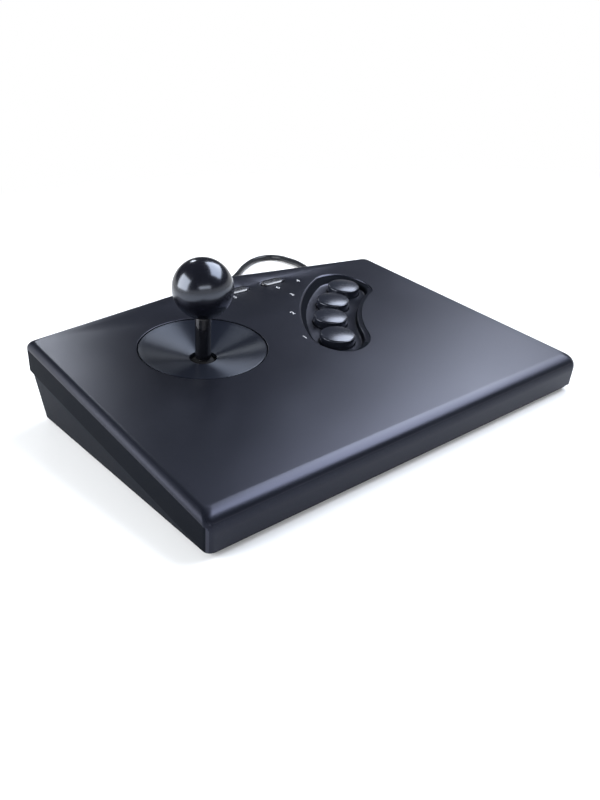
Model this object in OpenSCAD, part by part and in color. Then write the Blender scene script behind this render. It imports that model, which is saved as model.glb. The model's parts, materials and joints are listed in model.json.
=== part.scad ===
// Arcade fight stick: a wedge-shaped case with a ball-top lever, four main buttons and two small ones.
// The origin is on the table under the middle of the case; +X is to the right and +Y to the back.
// Most pieces are set out on the sloping top: u to the right, v up the slope, w out of the top.

/* [Case] */
// Width of the case
case_w = 270; // [240:1:300]
// Length of the top along its slope at the two sides
side_len = 192; // [180:1:205]
// How far the peak of the back edge stands behind its two corners
peak_rise = 22; // [15:1:30]
// Place of the peak to the right of the middle
peak_x = 23; // [-40:1:60]
// Slope of the top in degrees
tilt = 8.9; // [8:0.1:10]
// Depth of the top cover's skirt
skirt_h = 19; // [17.5:0.1:19.5]
// Radius of the roll along the front edge
front_roll = 9; // [6:0.5:12]
// Radius of the side and back top edges
edge_round = 4.5; // [4:0.5:6]
// Radius of the upright corners
corner_r = 4; // [2:0.5:8]
// Wall of the top cover
cover_t = 2.8; // [2.2:0.1:3]
// Wall of the finger recess
tray_t = 2.6; // [2:0.1:2.7]
// Wall of the base shell
base_t = 2.5; // [2:0.1:3]
// How far the base is set in under the skirt
base_inset = 1.2; // [0.5:0.1:2.5]
// Draft of the base walls, in millimetres for each millimetre of height
draft_share = 0.08; // [0.02:0.01:0.12]
// Height of the rubber feet
foot_h = 1.5; // [1:0.1:2]
// Radius of the rubber feet
foot_r = 9; // [6:0.5:12]

/* [Lever] */
// Lever centre to the right of the middle of the case
lever_u = -52.4; // [-56:0.1:-48]
// Lever centre down the slope from the back corners
lever_back = 60.4; // [56:0.1:64]
// Diameter of the ball top
ball_d = 35; // [30:0.5:40]
// Height of the ball's centre above the top
ball_w = 36.8; // [34:0.1:42]
// Radius of the round dish
dish_r = 38.2; // [36:0.1:40]
// Depth of the round dish
dish_depth = 7.1; // [6:0.1:7.4]
// Radius of the hole in the dish
hole_r = 8; // [8:0.1:9]
// Diameter of the lever shaft
shaft_d = 7; // [6.6:0.1:7.2]
// Diameter of the sleeve on the shaft
sleeve_d = 9.4; // [8.6:0.1:10]
// Gap between the end of the shaft and the case's floor
lever_gap = 1.5; // [1.3:0.1:4]
// Pivot depth below the top
pivot_depth = 19; // [18.9:0.1:19.2]

/* [Buttons] */
// Centre of the button arc to the right of the middle
arc_u = 131; // [125:0.5:136]
// Centre of the button arc down the slope from the back corners
arc_back = 138.5; // [135:0.5:142]
// Radius of the button arc
arc_r = 115; // [112:0.5:118]
// Angle of the fourth main button on the arc
arc_first = 115.9; // [114:0.1:118]
// Gap between the hidden flanges of neighbouring caps
cap_between = 1.1; // [0.5:0.1:3]
// Diameter of the main button caps
cap_d = 22; // [20:0.1:22.4]
// Height of the caps above the top
cap_rise = 2; // [1:0.1:4]
// Travel of the main buttons
cap_travel = 2.8; // [1.5:0.1:3]
// Depth of the finger recess
recess_depth = 5; // [4:0.1:5.2]
// Middle of the two small buttons to the left of the centre of the arc
pill_side = 105; // [100:0.5:108]
// Small buttons down the slope from the back corners
pill_back = 3.5; // [2:0.5:6]
// Distance between the small buttons
pill_gap = 30; // [28:0.5:34]
// Length of a small button
pill_len = 17; // [14:0.1:18]
// Width of a small button
pill_wid = 7; // [6:0.1:7.5]
// Height of the small buttons above the top
pill_rise = 0.9; // [0.5:0.1:2]
// Travel of the small buttons
pill_travel = 1.3; // [0.8:0.1:1.4]

/* [Cord] */
// Diameter of the cord
cord_d = 5.6; // [4.5:0.1:6]
// Height of the cord's exit above the table
exit_z = 19; // [17:0.5:21]
// Place of the exit along the back edge from the peak
exit_along = 30; // [20:1:60]
// Length of the tapered strain relief
relief_len = 24; // [20:1:30]
// Turns in each layer of the coil
coil_turns = 3.75; // [2.75:1:4.75]
// Mean radius of the coil
coil_r = 31; // [30:0.5:33]

/* [Hidden] */
$fn = 48;

// Overrun of every cut, the gap between faces that meet, and the radial gap of a running fit
cut = 1;
seat_gap = 0.3;
run_gap = 0.05;
// Facets of a quarter round and of a corner
round_n = 5;
corner_n = 4;

// Places on the top, from its sides and back corners
peak_len = side_len + peak_rise;
lever_v = side_len - lever_back;
arc_v = side_len - arc_back;
pill_u = arc_u - pill_side;
pill_v = side_len - pill_back;
// Height of the base's underside, and of its inner floor
base_z = foot_h;
floor_z = base_z + base_t;
slope_c = cos(tilt);
slope_s = sin(tilt);
// How far the lever reaches below the top
shaft_low = 37.3;
// Height of the top's front edge above the table, so that the lever clears the floor
front_z = floor_z + lever_gap + shaft_low * slope_c - lever_v * slope_s;
// The case's front-most and rear-most points, measured from the front top edge, put the origin midway
front_y = -(front_roll * (slope_c + slope_s - 1) + peak_len * slope_c + skirt_h * slope_s) / 2;

module on_top() {
    translate([0, front_y, front_z]) rotate([tilt, 0, 0]) children();
}

module on_lever() {
    on_top() translate([lever_u, lever_v, 0]) children();
}

function mix(a, b, t) = a + (b - a) * t;
function unit(p) = p / norm(p);

// Outline of the top: five corners, anticlockwise from the front left
outline_corners = [[-case_w / 2, 0], [case_w / 2, 0], [case_w / 2, side_len],
    [peak_x, peak_len], [-case_w / 2, side_len]];
outline_count = len(outline_corners);
function edge_dir(i) = unit(outline_corners[(i + 1) % outline_count] - outline_corners[i % outline_count]);
function edge_normal(i) = [-edge_dir(i).y, edge_dir(i).x];

// Corner i with its incoming edge moved in by a and its outgoing edge by b
function corner_at(i, a, b) =
    let (n0 = edge_normal(i + outline_count - 1), n1 = edge_normal(i), det = n0.x * n1.y - n0.y * n1.x)
    outline_corners[i] + [(a * n1.y - b * n0.y) / det, (b * n0.x - a * n1.x) / det];

// The round of radius r at corner i, which stands at p
function corner_round(i, p, r) =
    let (d0 = edge_dir(i + outline_count - 1), d1 = edge_dir(i),
        start = atan2(d0.y, d0.x), turn = acos(d0 * d1),
        mid = p - d0 * r * tan(turn / 2) + [-d0.y, d0.x] * r)
    [for (k = [0:corner_n]) let (a = start + turn * k / corner_n - 90) mid + r * [cos(a), sin(a)]];

// Faces run from ring to ring; rings are listed upwards and run anticlockwise seen from above.
// A folded ring runs out along a band and back, so its end faces are strips across the band
module loft(rings, folded = false) {
    n = len(rings[0]);
    last = len(rings) - 1;
    points = [for (ring = rings) each ring];
    sides = [for (r = [0:last - 1], i = [0:n - 1]) let (j = (i + 1) % n)
        each [[r * n + i, (r + 1) * n + i, (r + 1) * n + j], [r * n + i, (r + 1) * n + j, r * n + j]]];
    strip = [for (i = [0:n / 2 - 1]) each concat(
        i < n / 2 - 1 ? [[i, i + 1, n - i - 1]] : [], i > 0 ? [[i, n - i - 1, n - i]] : [])];
    bottom = folded ? strip : [[for (i = [0:n - 1]) i]];
    top = [for (face = bottom) [for (k = [len(face) - 1:-1:0]) last * n + face[k]]];
    polyhedron(points, concat(sides, bottom, top), convexity = 8);
}

// A tube of radius r along points
function tube_ring(points, i, r, sides) =
    let (last = len(points) - 1, t = unit(points[min(i + 1, last)] - points[max(i - 1, 0)]),
        side = unit(cross(t, [0, 0, 1])), rise = cross(side, t))
    [for (k = [0:sides - 1]) let (a = 360 * k / sides) points[i] + r * (cos(a) * side - sin(a) * rise)];
module tube(points, r, sides) {
    loft([for (i = [0:len(points) - 1]) tube_ring(points, i, r, sides)]);
}

module rounded_plate(size, r, h) {
    linear_extrude(h) {
        square([size.x - 2 * r, size.y], center = true);
        square([size.x, size.y - 2 * r], center = true);
        for (sx = [-1, 1], sy = [-1, 1])
            translate([sx * (size.x / 2 - r), sy * (size.y / 2 - r)]) circle(r);
    }
}

module slot_shape(length, width) {
    square([length - width, width], center = true);
    for (s = [-1, 1]) translate([s * (length - width) / 2, 0]) circle(width / 2);
}

// Rings of the top cover, set in by g from its outer faces
function cover_ring(g, a, bottom) =
    let (front_in = (front_roll - g) * (1 - cos(a)) + g, side_in = (edge_round - g) * (1 - cos(a)) + g,
        front_w = (front_roll - g) * sin(a) - front_roll, side_w = (edge_round - g) * sin(a) - edge_round)
    [for (i = [0:outline_count - 1])
        let (before = i == 1 ? front_in : side_in, after = i == 0 ? front_in : side_in,
            arc = corner_round(i, corner_at(i, before, after), corner_r))
        for (k = [0:corner_n])
            let (f = i == 0 ? k / corner_n : (i == 1 ? 1 - k / corner_n : 0))
            [arc[k].x, arc[k].y, bottom ? -skirt_h - (g > 0 ? cut : 0) : mix(side_w, front_w, f)]];
module cover_loft(g) {
    loft(concat([cover_ring(g, 0, true)],
        [for (j = [0:round_n]) cover_ring(g, 90 * j / round_n, false)]));
}

// Finger recess: a band round the button arc with rounded ends, its rim rolled over to a flat floor
pit_in_gap = 5.4;
pit_out_left_gap = 1.6;
pit_out_right_gap = 7;
pit_in_r = arc_r - cap_d / 2 - pit_in_gap;
pit_out_left_r = arc_r + cap_d / 2 + pit_out_left_gap;
pit_out_right_r = arc_r + cap_d / 2 + pit_out_right_gap;
rim_in_wide = 4.3;
rim_out_left_wide = 4.9;
rim_out_right_wide = 8.5;
rim_in_r = pit_in_r - rim_in_wide;
rim_out_left_r = pit_out_left_r + rim_out_left_wide;
rim_out_right_r = pit_out_right_r + rim_out_right_wide;
// Lengths along the arc from the outer caps' centres to the ends of the rim and of the floor
rim_left_len = 22.5;
rim_right_len = 18.7;
pit_left_len = 16.7;
pit_right_len = 13.9;
arc_deg = 180 / (PI * arc_r);
cap_flange = 1.6;
arc_step = 2 * asin((cap_d / 2 + cap_flange + cap_between / 2) / arc_r);
arc_last = arc_first + 3 * arc_step;
rim_left = arc_last + rim_left_len * arc_deg;
rim_right = arc_first - rim_right_len * arc_deg;
pit_left = arc_last + pit_left_len * arc_deg;
pit_right = arc_first - pit_right_len * arc_deg;
end_left_len = 24;
end_right_len = 14;
end_n = 5;
band_n = 9;
wall_n = 4;
function recess_ring(k, grow, w) =
    let (in_r = mix(rim_in_r, pit_in_r, k) - grow, left = mix(rim_left, pit_left, k) + grow * arc_deg,
        right = mix(rim_right, pit_right, k) - grow * arc_deg,
        out_left = mix(rim_out_left_r, pit_out_left_r, k) + grow,
        out_right = mix(rim_out_right_r, pit_out_right_r, k) + grow,
        el = end_left_len * arc_deg, er = end_right_len * arc_deg,
        stations = concat(
            [for (j = [0:end_n]) let (th = 90 * j / end_n) [right + er * (1 - cos(th)), sin(th)]],
            [for (j = [1:band_n - 1]) [mix(right + er, left - el, j / band_n), 1]],
            [for (j = [end_n:-1:0]) let (th = 90 * j / end_n) [left - el * (1 - cos(th)), sin(th)]]),
        last = len(stations) - 1)
    [for (j = [0:2 * last - 1])
        let (s = stations[j <= last ? j : 2 * last - j], side = j <= last ? 1 : -1,
            out_r = mix(out_right, out_left, (s[0] - right) / (left - right)),
            r = (in_r + out_r) / 2 + side * s[1] * (out_r - in_r) / 2)
        [arc_u + r * cos(s[0]), arc_v + r * sin(s[0]), w]];
module recess_pit() {
    loft(concat(
        [for (j = [wall_n:-1:0]) let (a = 90 * j / wall_n)
            recess_ring(sin(a), 0, -recess_depth * (1 - cos(a)))],
        [recess_ring(0, 0, cut)]), folded = true);
}
module recess_tray() {
    loft(concat(
        [for (j = [wall_n:-1:0]) let (a = 90 * j / wall_n)
            recess_ring(sin(a), tray_t, -recess_depth * (1 - cos(a)) - tray_t)],
        [recess_ring(0, tray_t, -cover_t / 2)]), folded = true);
}

// Main buttons
function cap_angle(i) = arc_first + (4 - i) * arc_step;
function cap_place(i) = [arc_u + arc_r * cos(cap_angle(i)), arc_v + arc_r * sin(cap_angle(i)), 0];
cap_gap = 0.3;
cap_hole_r = cap_d / 2 + cap_gap;
collar_w = 1.5;
collar_h = 0.6;
cap_flange_t = 1.2;
cap_wall = 1.6;
cap_bevel = 1.3;
cap_lip = 0.35;
stem_r = 3;
tray_under = recess_depth + tray_t;
flange_top = tray_under + seat_gap;
flange_low = flange_top + cap_flange_t;
stem_low = flange_low + seat_gap;
dome_spare = 2.1;
dome_h = cap_travel + dome_spare;
board_t = 1.6;
board_top = stem_low + seat_gap + dome_h;
board_low = board_top + board_t;

// Circuit board under the arc
board_edge = 11;
board_boss_edge = 6;
board_end_len = 16.6;
board_in_r = arc_r - cap_d / 2 - board_edge;
board_out_r = arc_r + cap_d / 2 + board_edge;
board_left = arc_last + board_end_len * arc_deg;
board_right = arc_first - board_end_len * arc_deg;
board_boss_off = cap_d / 2 + board_boss_edge;
boss_r = 3.2;
screw_r = 1.35;
pilot_r = screw_r + run_gap;
head_r = 2.7;
head_h = 1.8;
pilot_len = 6;
board_boss_steps = [0.5, 2.5];
board_boss_radii = [arc_r - board_boss_off, arc_r + board_boss_off];
module at_board_bosses() {
    for (s = board_boss_steps, r = board_boss_radii)
        let (a = arc_first + s * arc_step) translate([arc_u + r * cos(a), arc_v + r * sin(a), 0]) children();
}

// Small buttons
pill_dip = 1.2;
pill_dip_len = pill_len + 4;
pill_dip_wid = pill_wid + 3;
pill_floor_t = 2.4;
pill_gap_side = 0.3;
pill_flange = 1.2;
pill_flange_t = 1;
pill_under = pill_dip + pill_floor_t;
pill_flange_low = pill_under + seat_gap + pill_flange_t;
pill_stem_low = pill_flange_low + pill_travel;
small_dome_h = 2.5;
small_board_top = pill_stem_low + seat_gap + small_dome_h;
small_board_len = 72;
small_board_wid = 15;
small_board_corner = 1.5;
small_boss_x = 31;
small_dome_r = 4;
function pill_place(s) = [pill_u + s * pill_gap / 2, pill_v, 0];
module at_small_bosses() {
    for (s = [-1, 1]) translate([pill_u + s * small_boss_x, pill_v, 0]) children();
}

// Lever stack, measured down from the top
cover_under = dish_depth + cover_t;
plate_top = 13;
plate_t = 1.5;
plate_low = plate_top + plate_t;
plate_w = 80;
plate_l = 62;
plate_boss_x = 33;
plate_boss_y = 25;
plate_open_r = 13.5;
housing_flange_t = 2.5;
housing_flange_low = plate_low + housing_flange_t;
housing_flange_w = 44;
housing_w = 36;
housing_bore_r = 13;
housing_low = 25;
housing_screw_x = 19.5;
housing_corner = 3;
gate_t = 2;
gate_low = housing_low + gate_t;
gate_w = 44;
gate_half = 5;
gate_leg_x = 19.8;
gate_leg_r = 2;
ring_out_r = 12;
ring_in_r = 8;
ring_h = 5;
pin_r = 2;
ring_pin_reach = 17;
block_r = 6;
block_h = 6;
block_pin_reach = 11.5;
dust_r = 11.9;
dust_t = 1.2;
dust_half = 57;
dust_low = pivot_depth - dust_r;
ball_flat = 16.9;
shaft_thread_r = 3;
thread_reach = 14;
clip_top = 35.5;
clip_t = 0.8;
clip_r = 5.4;
groove_r = 2.5;
seat_t = 0.8;
seat_in_r = 6.3;
seat_out_r = 8.3;
seat_low = gate_low + seat_gap + seat_t;
spring_wire_r = 0.35;
spring_top_r = 7.3;
spring_low_r = 5.5;
spring_turns = 2;
spring_steps = 16;
actuator_r = 6;
actuator_top = 31.9;
actuator_low = 35.2;

// Switches under the gate
switch_len = 19.8;
switch_deep = 10.3;
switch_t = 6.4;
switch_front = 10.2;
plunger_tip = 8.8;
plunger_r = 1.2;
peg_step = 1;
peg_r = 1.5;
peg_shoulder_r = 2.4;
peg_apart = 9.5;
peg_deep = 7.4;
peg_place_share = 0.7;
switch_top = gate_low + peg_step + seat_gap;
switch_mid = switch_top + switch_t / 2;
switch_low = switch_top + switch_t;
terminal_len = 3;
terminal_w = 4;
terminal_t = 0.6;
terminal_apart = 6.5;
terminal_end = switch_front + switch_deep + terminal_len;

// Case screws: heads sit in wells under the base
post_side = 17;
post_front = 24;
post_back = 20;
post_u = case_w / 2 - post_side;
post_places_v = [post_front, (side_len + cap_d / 2) / 2, side_len - post_back];
post_r = 6;
post_boss_r = 4;
post_top_t = 3.2;
well_r = 4.2;
case_screw_reach = 8;
post_hole_r = 1.7;
lip_h = 3;
lip_t = 1.4;
lip_gap = 0.2;
lip_root = 2;
module at_posts() {
    for (s = [-1, 1], v = post_places_v) translate([s * post_u, v, 0]) children();
}
module down(w) {
    translate([0, 0, -w]) children();
}

module top_cover() color([0.10, 0.11, 0.13]) on_top() {
    difference() {
        union() {
            difference() {
                cover_loft(0);
                cover_loft(cover_t);
            }
            recess_tray();
            translate([lever_u, lever_v, 0]) dish_wall();
            for (s = [-1, 1]) translate(pill_place(s)) down(pill_under)
                linear_extrude(pill_under - cover_t / 2) slot_shape(pill_dip_len + cover_t, pill_dip_wid + cover_t);
            at_posts() down(skirt_h) cylinder(h = skirt_h - cover_t / 2, r = post_boss_r);
            at_board_bosses() down(board_top) cylinder(h = board_top - cover_t / 2, r = boss_r);
            at_small_bosses() down(small_board_top) cylinder(h = small_board_top - cover_t / 2, r = boss_r);
            translate([lever_u, lever_v, 0]) at_plate_bosses()
                down(plate_top) cylinder(h = plate_top - cover_t / 2, r = boss_r);
        }
        recess_pit();
        translate([lever_u, lever_v, 0]) dish_space();
        for (i = [1:4]) translate(cap_place(i)) down(tray_under + cut)
            cylinder(h = tray_under + 2 * cut, r = cap_hole_r);
        for (s = [-1, 1]) translate(pill_place(s)) {
            down(pill_dip) linear_extrude(pill_dip + cut) slot_shape(pill_dip_len, pill_dip_wid);
            down(pill_under + cut) linear_extrude(pill_under + 2 * cut)
                slot_shape(pill_len + 2 * pill_gap_side, pill_wid + 2 * pill_gap_side);
        }
        at_posts() down(skirt_h + cut) cylinder(h = case_screw_reach + 2 * cut, r = pilot_r);
        at_board_bosses() down(board_top + cut) cylinder(h = pilot_len + cut, r = pilot_r);
        at_small_bosses() down(small_board_top + cut) cylinder(h = pilot_len, r = pilot_r);
        translate([lever_u, lever_v, 0]) at_plate_bosses()
            down(plate_top + cut) cylinder(h = pilot_len + 2 * cut, r = pilot_r);
    }
    for (i = [1:4]) translate(cap_place(i)) cap_collar();
}

// The dish is a wide shallow cone with a short upright throat
dish_rim_roll = 1.2;
module dish_space() {
    rotate_extrude() polygon([[0, -cover_under - cut], [hole_r, -cover_under - cut], [hole_r, -dish_depth],
        [dish_r - dish_rim_roll, -dish_rim_roll / 2], [dish_r, 0], [dish_r, cut], [0, cut]]);
}
module dish_wall() {
    rotate_extrude() polygon([[0, -cover_under], [hole_r + cover_t, -cover_under],
        [dish_r + cover_t, -cover_t / 2], [0, -cover_t / 2]]);
}

// Raised ring round each button hole
module cap_collar() {
    rotate_extrude() polygon([[cap_hole_r, -recess_depth], [cap_hole_r + collar_w, -recess_depth],
        [cap_hole_r + collar_w / 3, collar_h - recess_depth], [cap_hole_r, collar_h - recess_depth]]);
}

module at_plate_bosses() {
    for (sx = [-1, 1], sy = [-1, 1]) translate([sx * plate_boss_x, sy * plate_boss_y, 0]) children();
}

// Rings of the base shell, in the part's own frame
function to_part(p, w) = [p.x, front_y + p.y * slope_c - w * slope_s, front_z + p.y * slope_s + w * slope_c];
function split_height(i) = to_part(corner_at(i, base_inset, base_inset), -skirt_h).z;
function base_ring(inset, w) = [for (i = [0:outline_count - 1])
    each [for (p = corner_round(i, corner_at(i, inset, inset), corner_r)) to_part(p, w)]];
function base_low_ring(inset, z) = [for (i = [0:outline_count - 1])
    let (m = inset + draft_share * (split_height(i) - z))
    each [for (p = corner_round(i, corner_at(i, m, m), corner_r)) let (q = to_part(p, -skirt_h)) [q.x, q.y, z]]];
cavity_rise = 16;
module base_loft() {
    loft([base_low_ring(base_inset, base_z), base_ring(base_inset, -skirt_h)]);
}
module base_cavity() {
    loft([base_low_ring(base_inset + base_t, floor_z),
        base_ring(base_inset + base_t - draft_share * cavity_rise, cavity_rise - skirt_h)]);
}
module skirt_lip() {
    out = cover_t + lip_gap;
    difference() {
        loft([base_ring(out, -skirt_h - lip_root), base_ring(out, lip_h - skirt_h)]);
        loft([base_ring(out + lip_t, -skirt_h - lip_root - cut), base_ring(out + lip_t, lip_h - skirt_h + cut)]);
    }
}

// The exit stands square to the right half of the back wall
back_dir = edge_dir(2);
exit_deg = atan2(back_dir.y * slope_c, -back_dir.x);
exit_plan = outline_corners[3] - back_dir * exit_along;
exit_split = to_part(exit_plan, -skirt_h);
exit_inset = base_inset + draft_share * (exit_split.z - exit_z);
exit_neck_r = 4.4;
exit_flange_r = 6.5;
exit_flange_t = 1.5;
exit_collar_r = 5.6;
exit_collar_t = 3;
exit_slack = 1;
module at_exit() {
    translate([exit_split.x - exit_inset * sin(exit_deg), exit_split.y - exit_inset * cos(exit_deg), exit_z])
        rotate([0, 0, -exit_deg]) rotate([-90, 0, 0]) children();
}

module base_shell() color([0.09, 0.10, 0.12]) {
    difference() {
        union() {
            difference() {
                base_loft();
                base_cavity();
            }
            skirt_lip();
            intersection() {
                base_loft();
                on_top() at_posts() down(front_z + case_w) cylinder(h = front_z + case_w - skirt_h, r = post_r);
            }
        }
        on_top() at_posts() {
            down(front_z + case_w) cylinder(h = front_z + case_w - skirt_h - post_top_t, r = well_r);
            down(skirt_h + post_top_t + cut) cylinder(h = post_top_t + 2 * cut, r = post_hole_r);
        }
        at_exit() down(2 * base_t) cylinder(h = 3 * base_t, r = exit_neck_r + run_gap);
    }
}

foot_side = 35;
foot_front = 23.8;
foot_back = 16;
foot_x = case_w / 2 - foot_side;
foot_front_y = front_y + foot_front;
foot_back_y = front_y + side_len * slope_c - foot_back;
foot_bevel = 0.5;
foot_places_y = [foot_front_y, foot_back_y];
module rubber_feet() color([0.05, 0.05, 0.05]) {
    for (sx = [-1, 1], y = foot_places_y) translate([sx * foot_x, y, 0]) rotate_extrude()
        polygon([[0, 0], [foot_r - foot_bevel, 0], [foot_r, foot_bevel], [foot_r, foot_h], [0, foot_h]]);
}

// A screw with its head down and its shank pointing up, the underside of the head at zero
module screw(length) {
    cylinder(h = length, r = screw_r);
    down(head_h) cylinder(h = head_h, r = head_r);
}

module case_screws() color([0.35, 0.35, 0.37]) on_top() at_posts()
    down(skirt_h + post_top_t) screw(post_top_t + case_screw_reach);

module lever_plate() color([0.62, 0.63, 0.65]) on_lever() down(plate_low) difference() {
    rounded_plate([plate_w, plate_l], housing_corner, plate_t);
    down(cut) cylinder(h = plate_t + 2 * cut, r = plate_open_r);
    at_plate_bosses() down(cut) cylinder(h = plate_t + 2 * cut, r = post_hole_r);
    at_housing_screws() down(cut) cylinder(h = plate_t + 2 * cut, r = pilot_r);
}

module at_housing_screws() {
    for (s = [-1, 1]) translate([s * housing_screw_x, 0, 0]) children();
}

module lever_housing() color([0.12, 0.12, 0.13]) on_lever() difference() {
    union() {
        down(housing_flange_low) rounded_plate([housing_flange_w, housing_flange_w], housing_corner,
            housing_flange_t);
        down(housing_low) rounded_plate([housing_w, housing_w], housing_corner,
            housing_low - housing_flange_low + cut);
    }
    down(housing_low + cut) cylinder(h = housing_low, r = housing_bore_r);
    down(pivot_depth) rotate([90, 0, 0]) cylinder(h = 2 * ring_pin_reach + 2 * seat_gap,
        r = pin_r + run_gap, center = true);
    down(pivot_depth) translate([-pin_r - run_gap, -ring_pin_reach - seat_gap, 0])
        cube([2 * (pin_r + run_gap), 2 * (ring_pin_reach + seat_gap), pivot_depth]);
    at_housing_screws() down(housing_flange_low + head_h) cylinder(h = housing_flange_t + head_h + cut,
        r = post_hole_r);
    at_housing_screws() down(housing_low) cylinder(h = housing_low - housing_flange_low,
        r = head_r + seat_gap);
}

module restrictor_gate() color([0.85, 0.85, 0.82]) on_lever() {
    difference() {
        down(gate_low) rounded_plate([gate_w, gate_w], housing_corner, gate_t);
        down(gate_low + cut) translate([-gate_half, -gate_half, 0])
            cube([2 * gate_half, 2 * gate_half, gate_t + 2 * cut]);
        at_housing_screws() down(gate_low + cut) cylinder(h = gate_t + 2 * cut, r = head_r + seat_gap);
    }
    for (sx = [-1, 1], sy = [-1, 1]) translate([sx * gate_leg_x, sy * gate_leg_x, 0])
        down(housing_low) cylinder(h = housing_low - housing_flange_low - seat_gap, r = gate_leg_r);
    for (a = [0:90:270]) rotate(a) at_pegs() {
        down(gate_low + peg_step) cylinder(h = peg_step, r = peg_shoulder_r);
        down(gate_low + peg_deep) cylinder(h = peg_deep, r = peg_r);
    }
}

module at_pegs() {
    for (s = [-1, 1]) translate([switch_front + switch_deep * peg_place_share, s * peg_apart / 2, 0]) children();
}

module lever_screws() color([0.55, 0.55, 0.57]) on_lever() {
    at_plate_bosses() down(plate_low) screw(plate_t + pilot_len);
    at_housing_screws() down(housing_flange_low) screw(housing_flange_t + plate_t);
}

module micro_switch(turn) color([0.08, 0.08, 0.08]) on_lever() rotate(turn) difference() {
    union() {
        translate([switch_front, -switch_len / 2, -switch_low]) cube([switch_deep, switch_len, switch_t]);
        down(switch_mid) translate([plunger_tip, 0, 0]) rotate([0, 90, 0])
            cylinder(h = switch_front - plunger_tip + cut, r = plunger_r);
        for (s = [-1:1]) translate([switch_front + switch_deep - cut, s * terminal_apart - terminal_w / 2,
            -switch_mid - terminal_t / 2]) cube([terminal_len + cut, terminal_w, terminal_t]);
    }
    at_pegs() down(switch_low + cut) cylinder(h = switch_t + 2 * cut, r = peg_r + run_gap);
}
module switch_right() micro_switch(0);
module switch_back() micro_switch(90);
module switch_left() micro_switch(180);
module switch_front() micro_switch(270);

module spring_seat() color([0.6, 0.6, 0.62]) on_lever() down(seat_low) difference() {
    cylinder(h = seat_t, r = seat_out_r);
    down(cut) cylinder(h = seat_t + 2 * cut, r = seat_in_r);
}

module pivot_ring() color([0.75, 0.75, 0.73]) on_lever() down(pivot_depth) difference() {
    union() {
        cylinder(h = ring_h, r = ring_out_r, center = true);
        rotate([90, 0, 0]) cylinder(h = 2 * ring_pin_reach, r = pin_r, center = true);
    }
    cylinder(h = ring_h + 2 * cut, r = ring_in_r, center = true);
    rotate([0, 90, 0]) cylinder(h = 2 * ring_out_r + cut, r = pin_r + run_gap, center = true);
}

module pivot_block() color([0.80, 0.80, 0.78]) on_lever() down(pivot_depth) difference() {
    union() {
        cylinder(h = block_h, r = block_r, center = true);
        rotate([0, 90, 0]) cylinder(h = 2 * block_pin_reach, r = pin_r, center = true);
    }
    cylinder(h = block_h + 2 * cut, r = shaft_d / 2 + run_gap, center = true);
}

module lever_shaft() color([0.75, 0.76, 0.78]) on_lever() difference() {
    union() {
        down(shaft_low) cylinder(h = shaft_low + ball_w - ball_flat, r = shaft_d / 2);
        translate([0, 0, ball_w - ball_flat]) cylinder(h = thread_reach, r = shaft_thread_r);
    }
    down(clip_top + clip_t + seat_gap / 2) difference() {
        cylinder(h = clip_t + seat_gap, r = shaft_d);
        cylinder(h = clip_t + seat_gap, r = groove_r);
    }
}

module shaft_sleeve() color([0.12, 0.12, 0.13]) on_lever() down(dust_low - seat_gap) difference() {
    cylinder(h = dust_low - seat_gap + ball_w - ball_flat - seat_gap, r = sleeve_d / 2);
    down(cut) cylinder(h = dust_low + ball_w, r = shaft_d / 2 + run_gap);
}

module ball_top() color([0.03, 0.03, 0.04]) on_lever() translate([0, 0, ball_w]) difference() {
    sphere(ball_d / 2);
    down(ball_flat + ball_d) cylinder(h = ball_d, r = ball_d);
    down(ball_flat + cut) cylinder(h = thread_reach + cut + seat_gap, r = shaft_thread_r + run_gap);
}

module dust_cover() color([0.05, 0.05, 0.05]) on_lever() down(pivot_depth) difference() {
    intersection() {
        sphere(dust_r);
        translate([0, 0, dust_r * cos(dust_half)]) cylinder(h = dust_r, r = dust_r);
    }
    sphere(dust_r - dust_t);
    cylinder(h = dust_r + cut, r = shaft_d / 2 + run_gap);
}

module centring_spring() color([0.7, 0.7, 0.72]) on_lever() {
    top = seat_low + seat_gap + spring_wire_r;
    low = actuator_top - seat_gap - spring_wire_r;
    tube([for (i = [0:spring_turns * spring_steps]) let (f = i / (spring_turns * spring_steps),
        a = 360 * i / spring_steps, r = mix(spring_low_r, spring_top_r, f))
        [r * cos(a), r * sin(a), mix(-low, -top, f)]], spring_wire_r, 6);
}

module actuator() color([0.85, 0.85, 0.82]) on_lever() down(actuator_low) difference() {
    cylinder(h = actuator_low - actuator_top, r = actuator_r);
    down(cut) cylinder(h = actuator_low - actuator_top + 2 * cut, r = shaft_d / 2 + run_gap);
}

module e_clip() color([0.5, 0.5, 0.52]) on_lever() down(clip_top + clip_t) difference() {
    cylinder(h = clip_t, r = clip_r);
    down(cut) cylinder(h = clip_t + 2 * cut, r = groove_r + run_gap);
    down(cut) translate([0, -groove_r, 0]) cube([clip_r + cut, 2 * groove_r, clip_t + 2 * cut]);
}

// A cap is a cup with a flange that holds it under the tray and a stem that meets its dome
module main_button(i) color([0.16, 0.17, 0.19]) on_top() translate(cap_place(i)) {
    r = cap_d / 2;
    rotate_extrude() polygon([[0, cap_rise], [r - 2 * cap_bevel, cap_rise - cap_lip / 2],
        [r - cap_bevel, cap_rise - cap_lip], [r - cap_bevel / 3, cap_rise - cap_bevel / 2 - cap_lip / 2],
        [r, cap_rise - cap_bevel - cap_lip], [r, -flange_top], [r + cap_flange, -flange_top],
        [r + cap_flange, -flange_low], [r - cap_wall, -flange_low],
        [r - cap_wall, cap_rise - cap_lip - cap_bevel - cap_wall],
        [stem_r, cap_rise - cap_lip - cap_bevel - cap_wall], [stem_r, -stem_low], [0, -stem_low]]);
}
module main_button_1() main_button(1);
module main_button_2() main_button(2);
module main_button_3() main_button(3);
module main_button_4() main_button(4);

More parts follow.
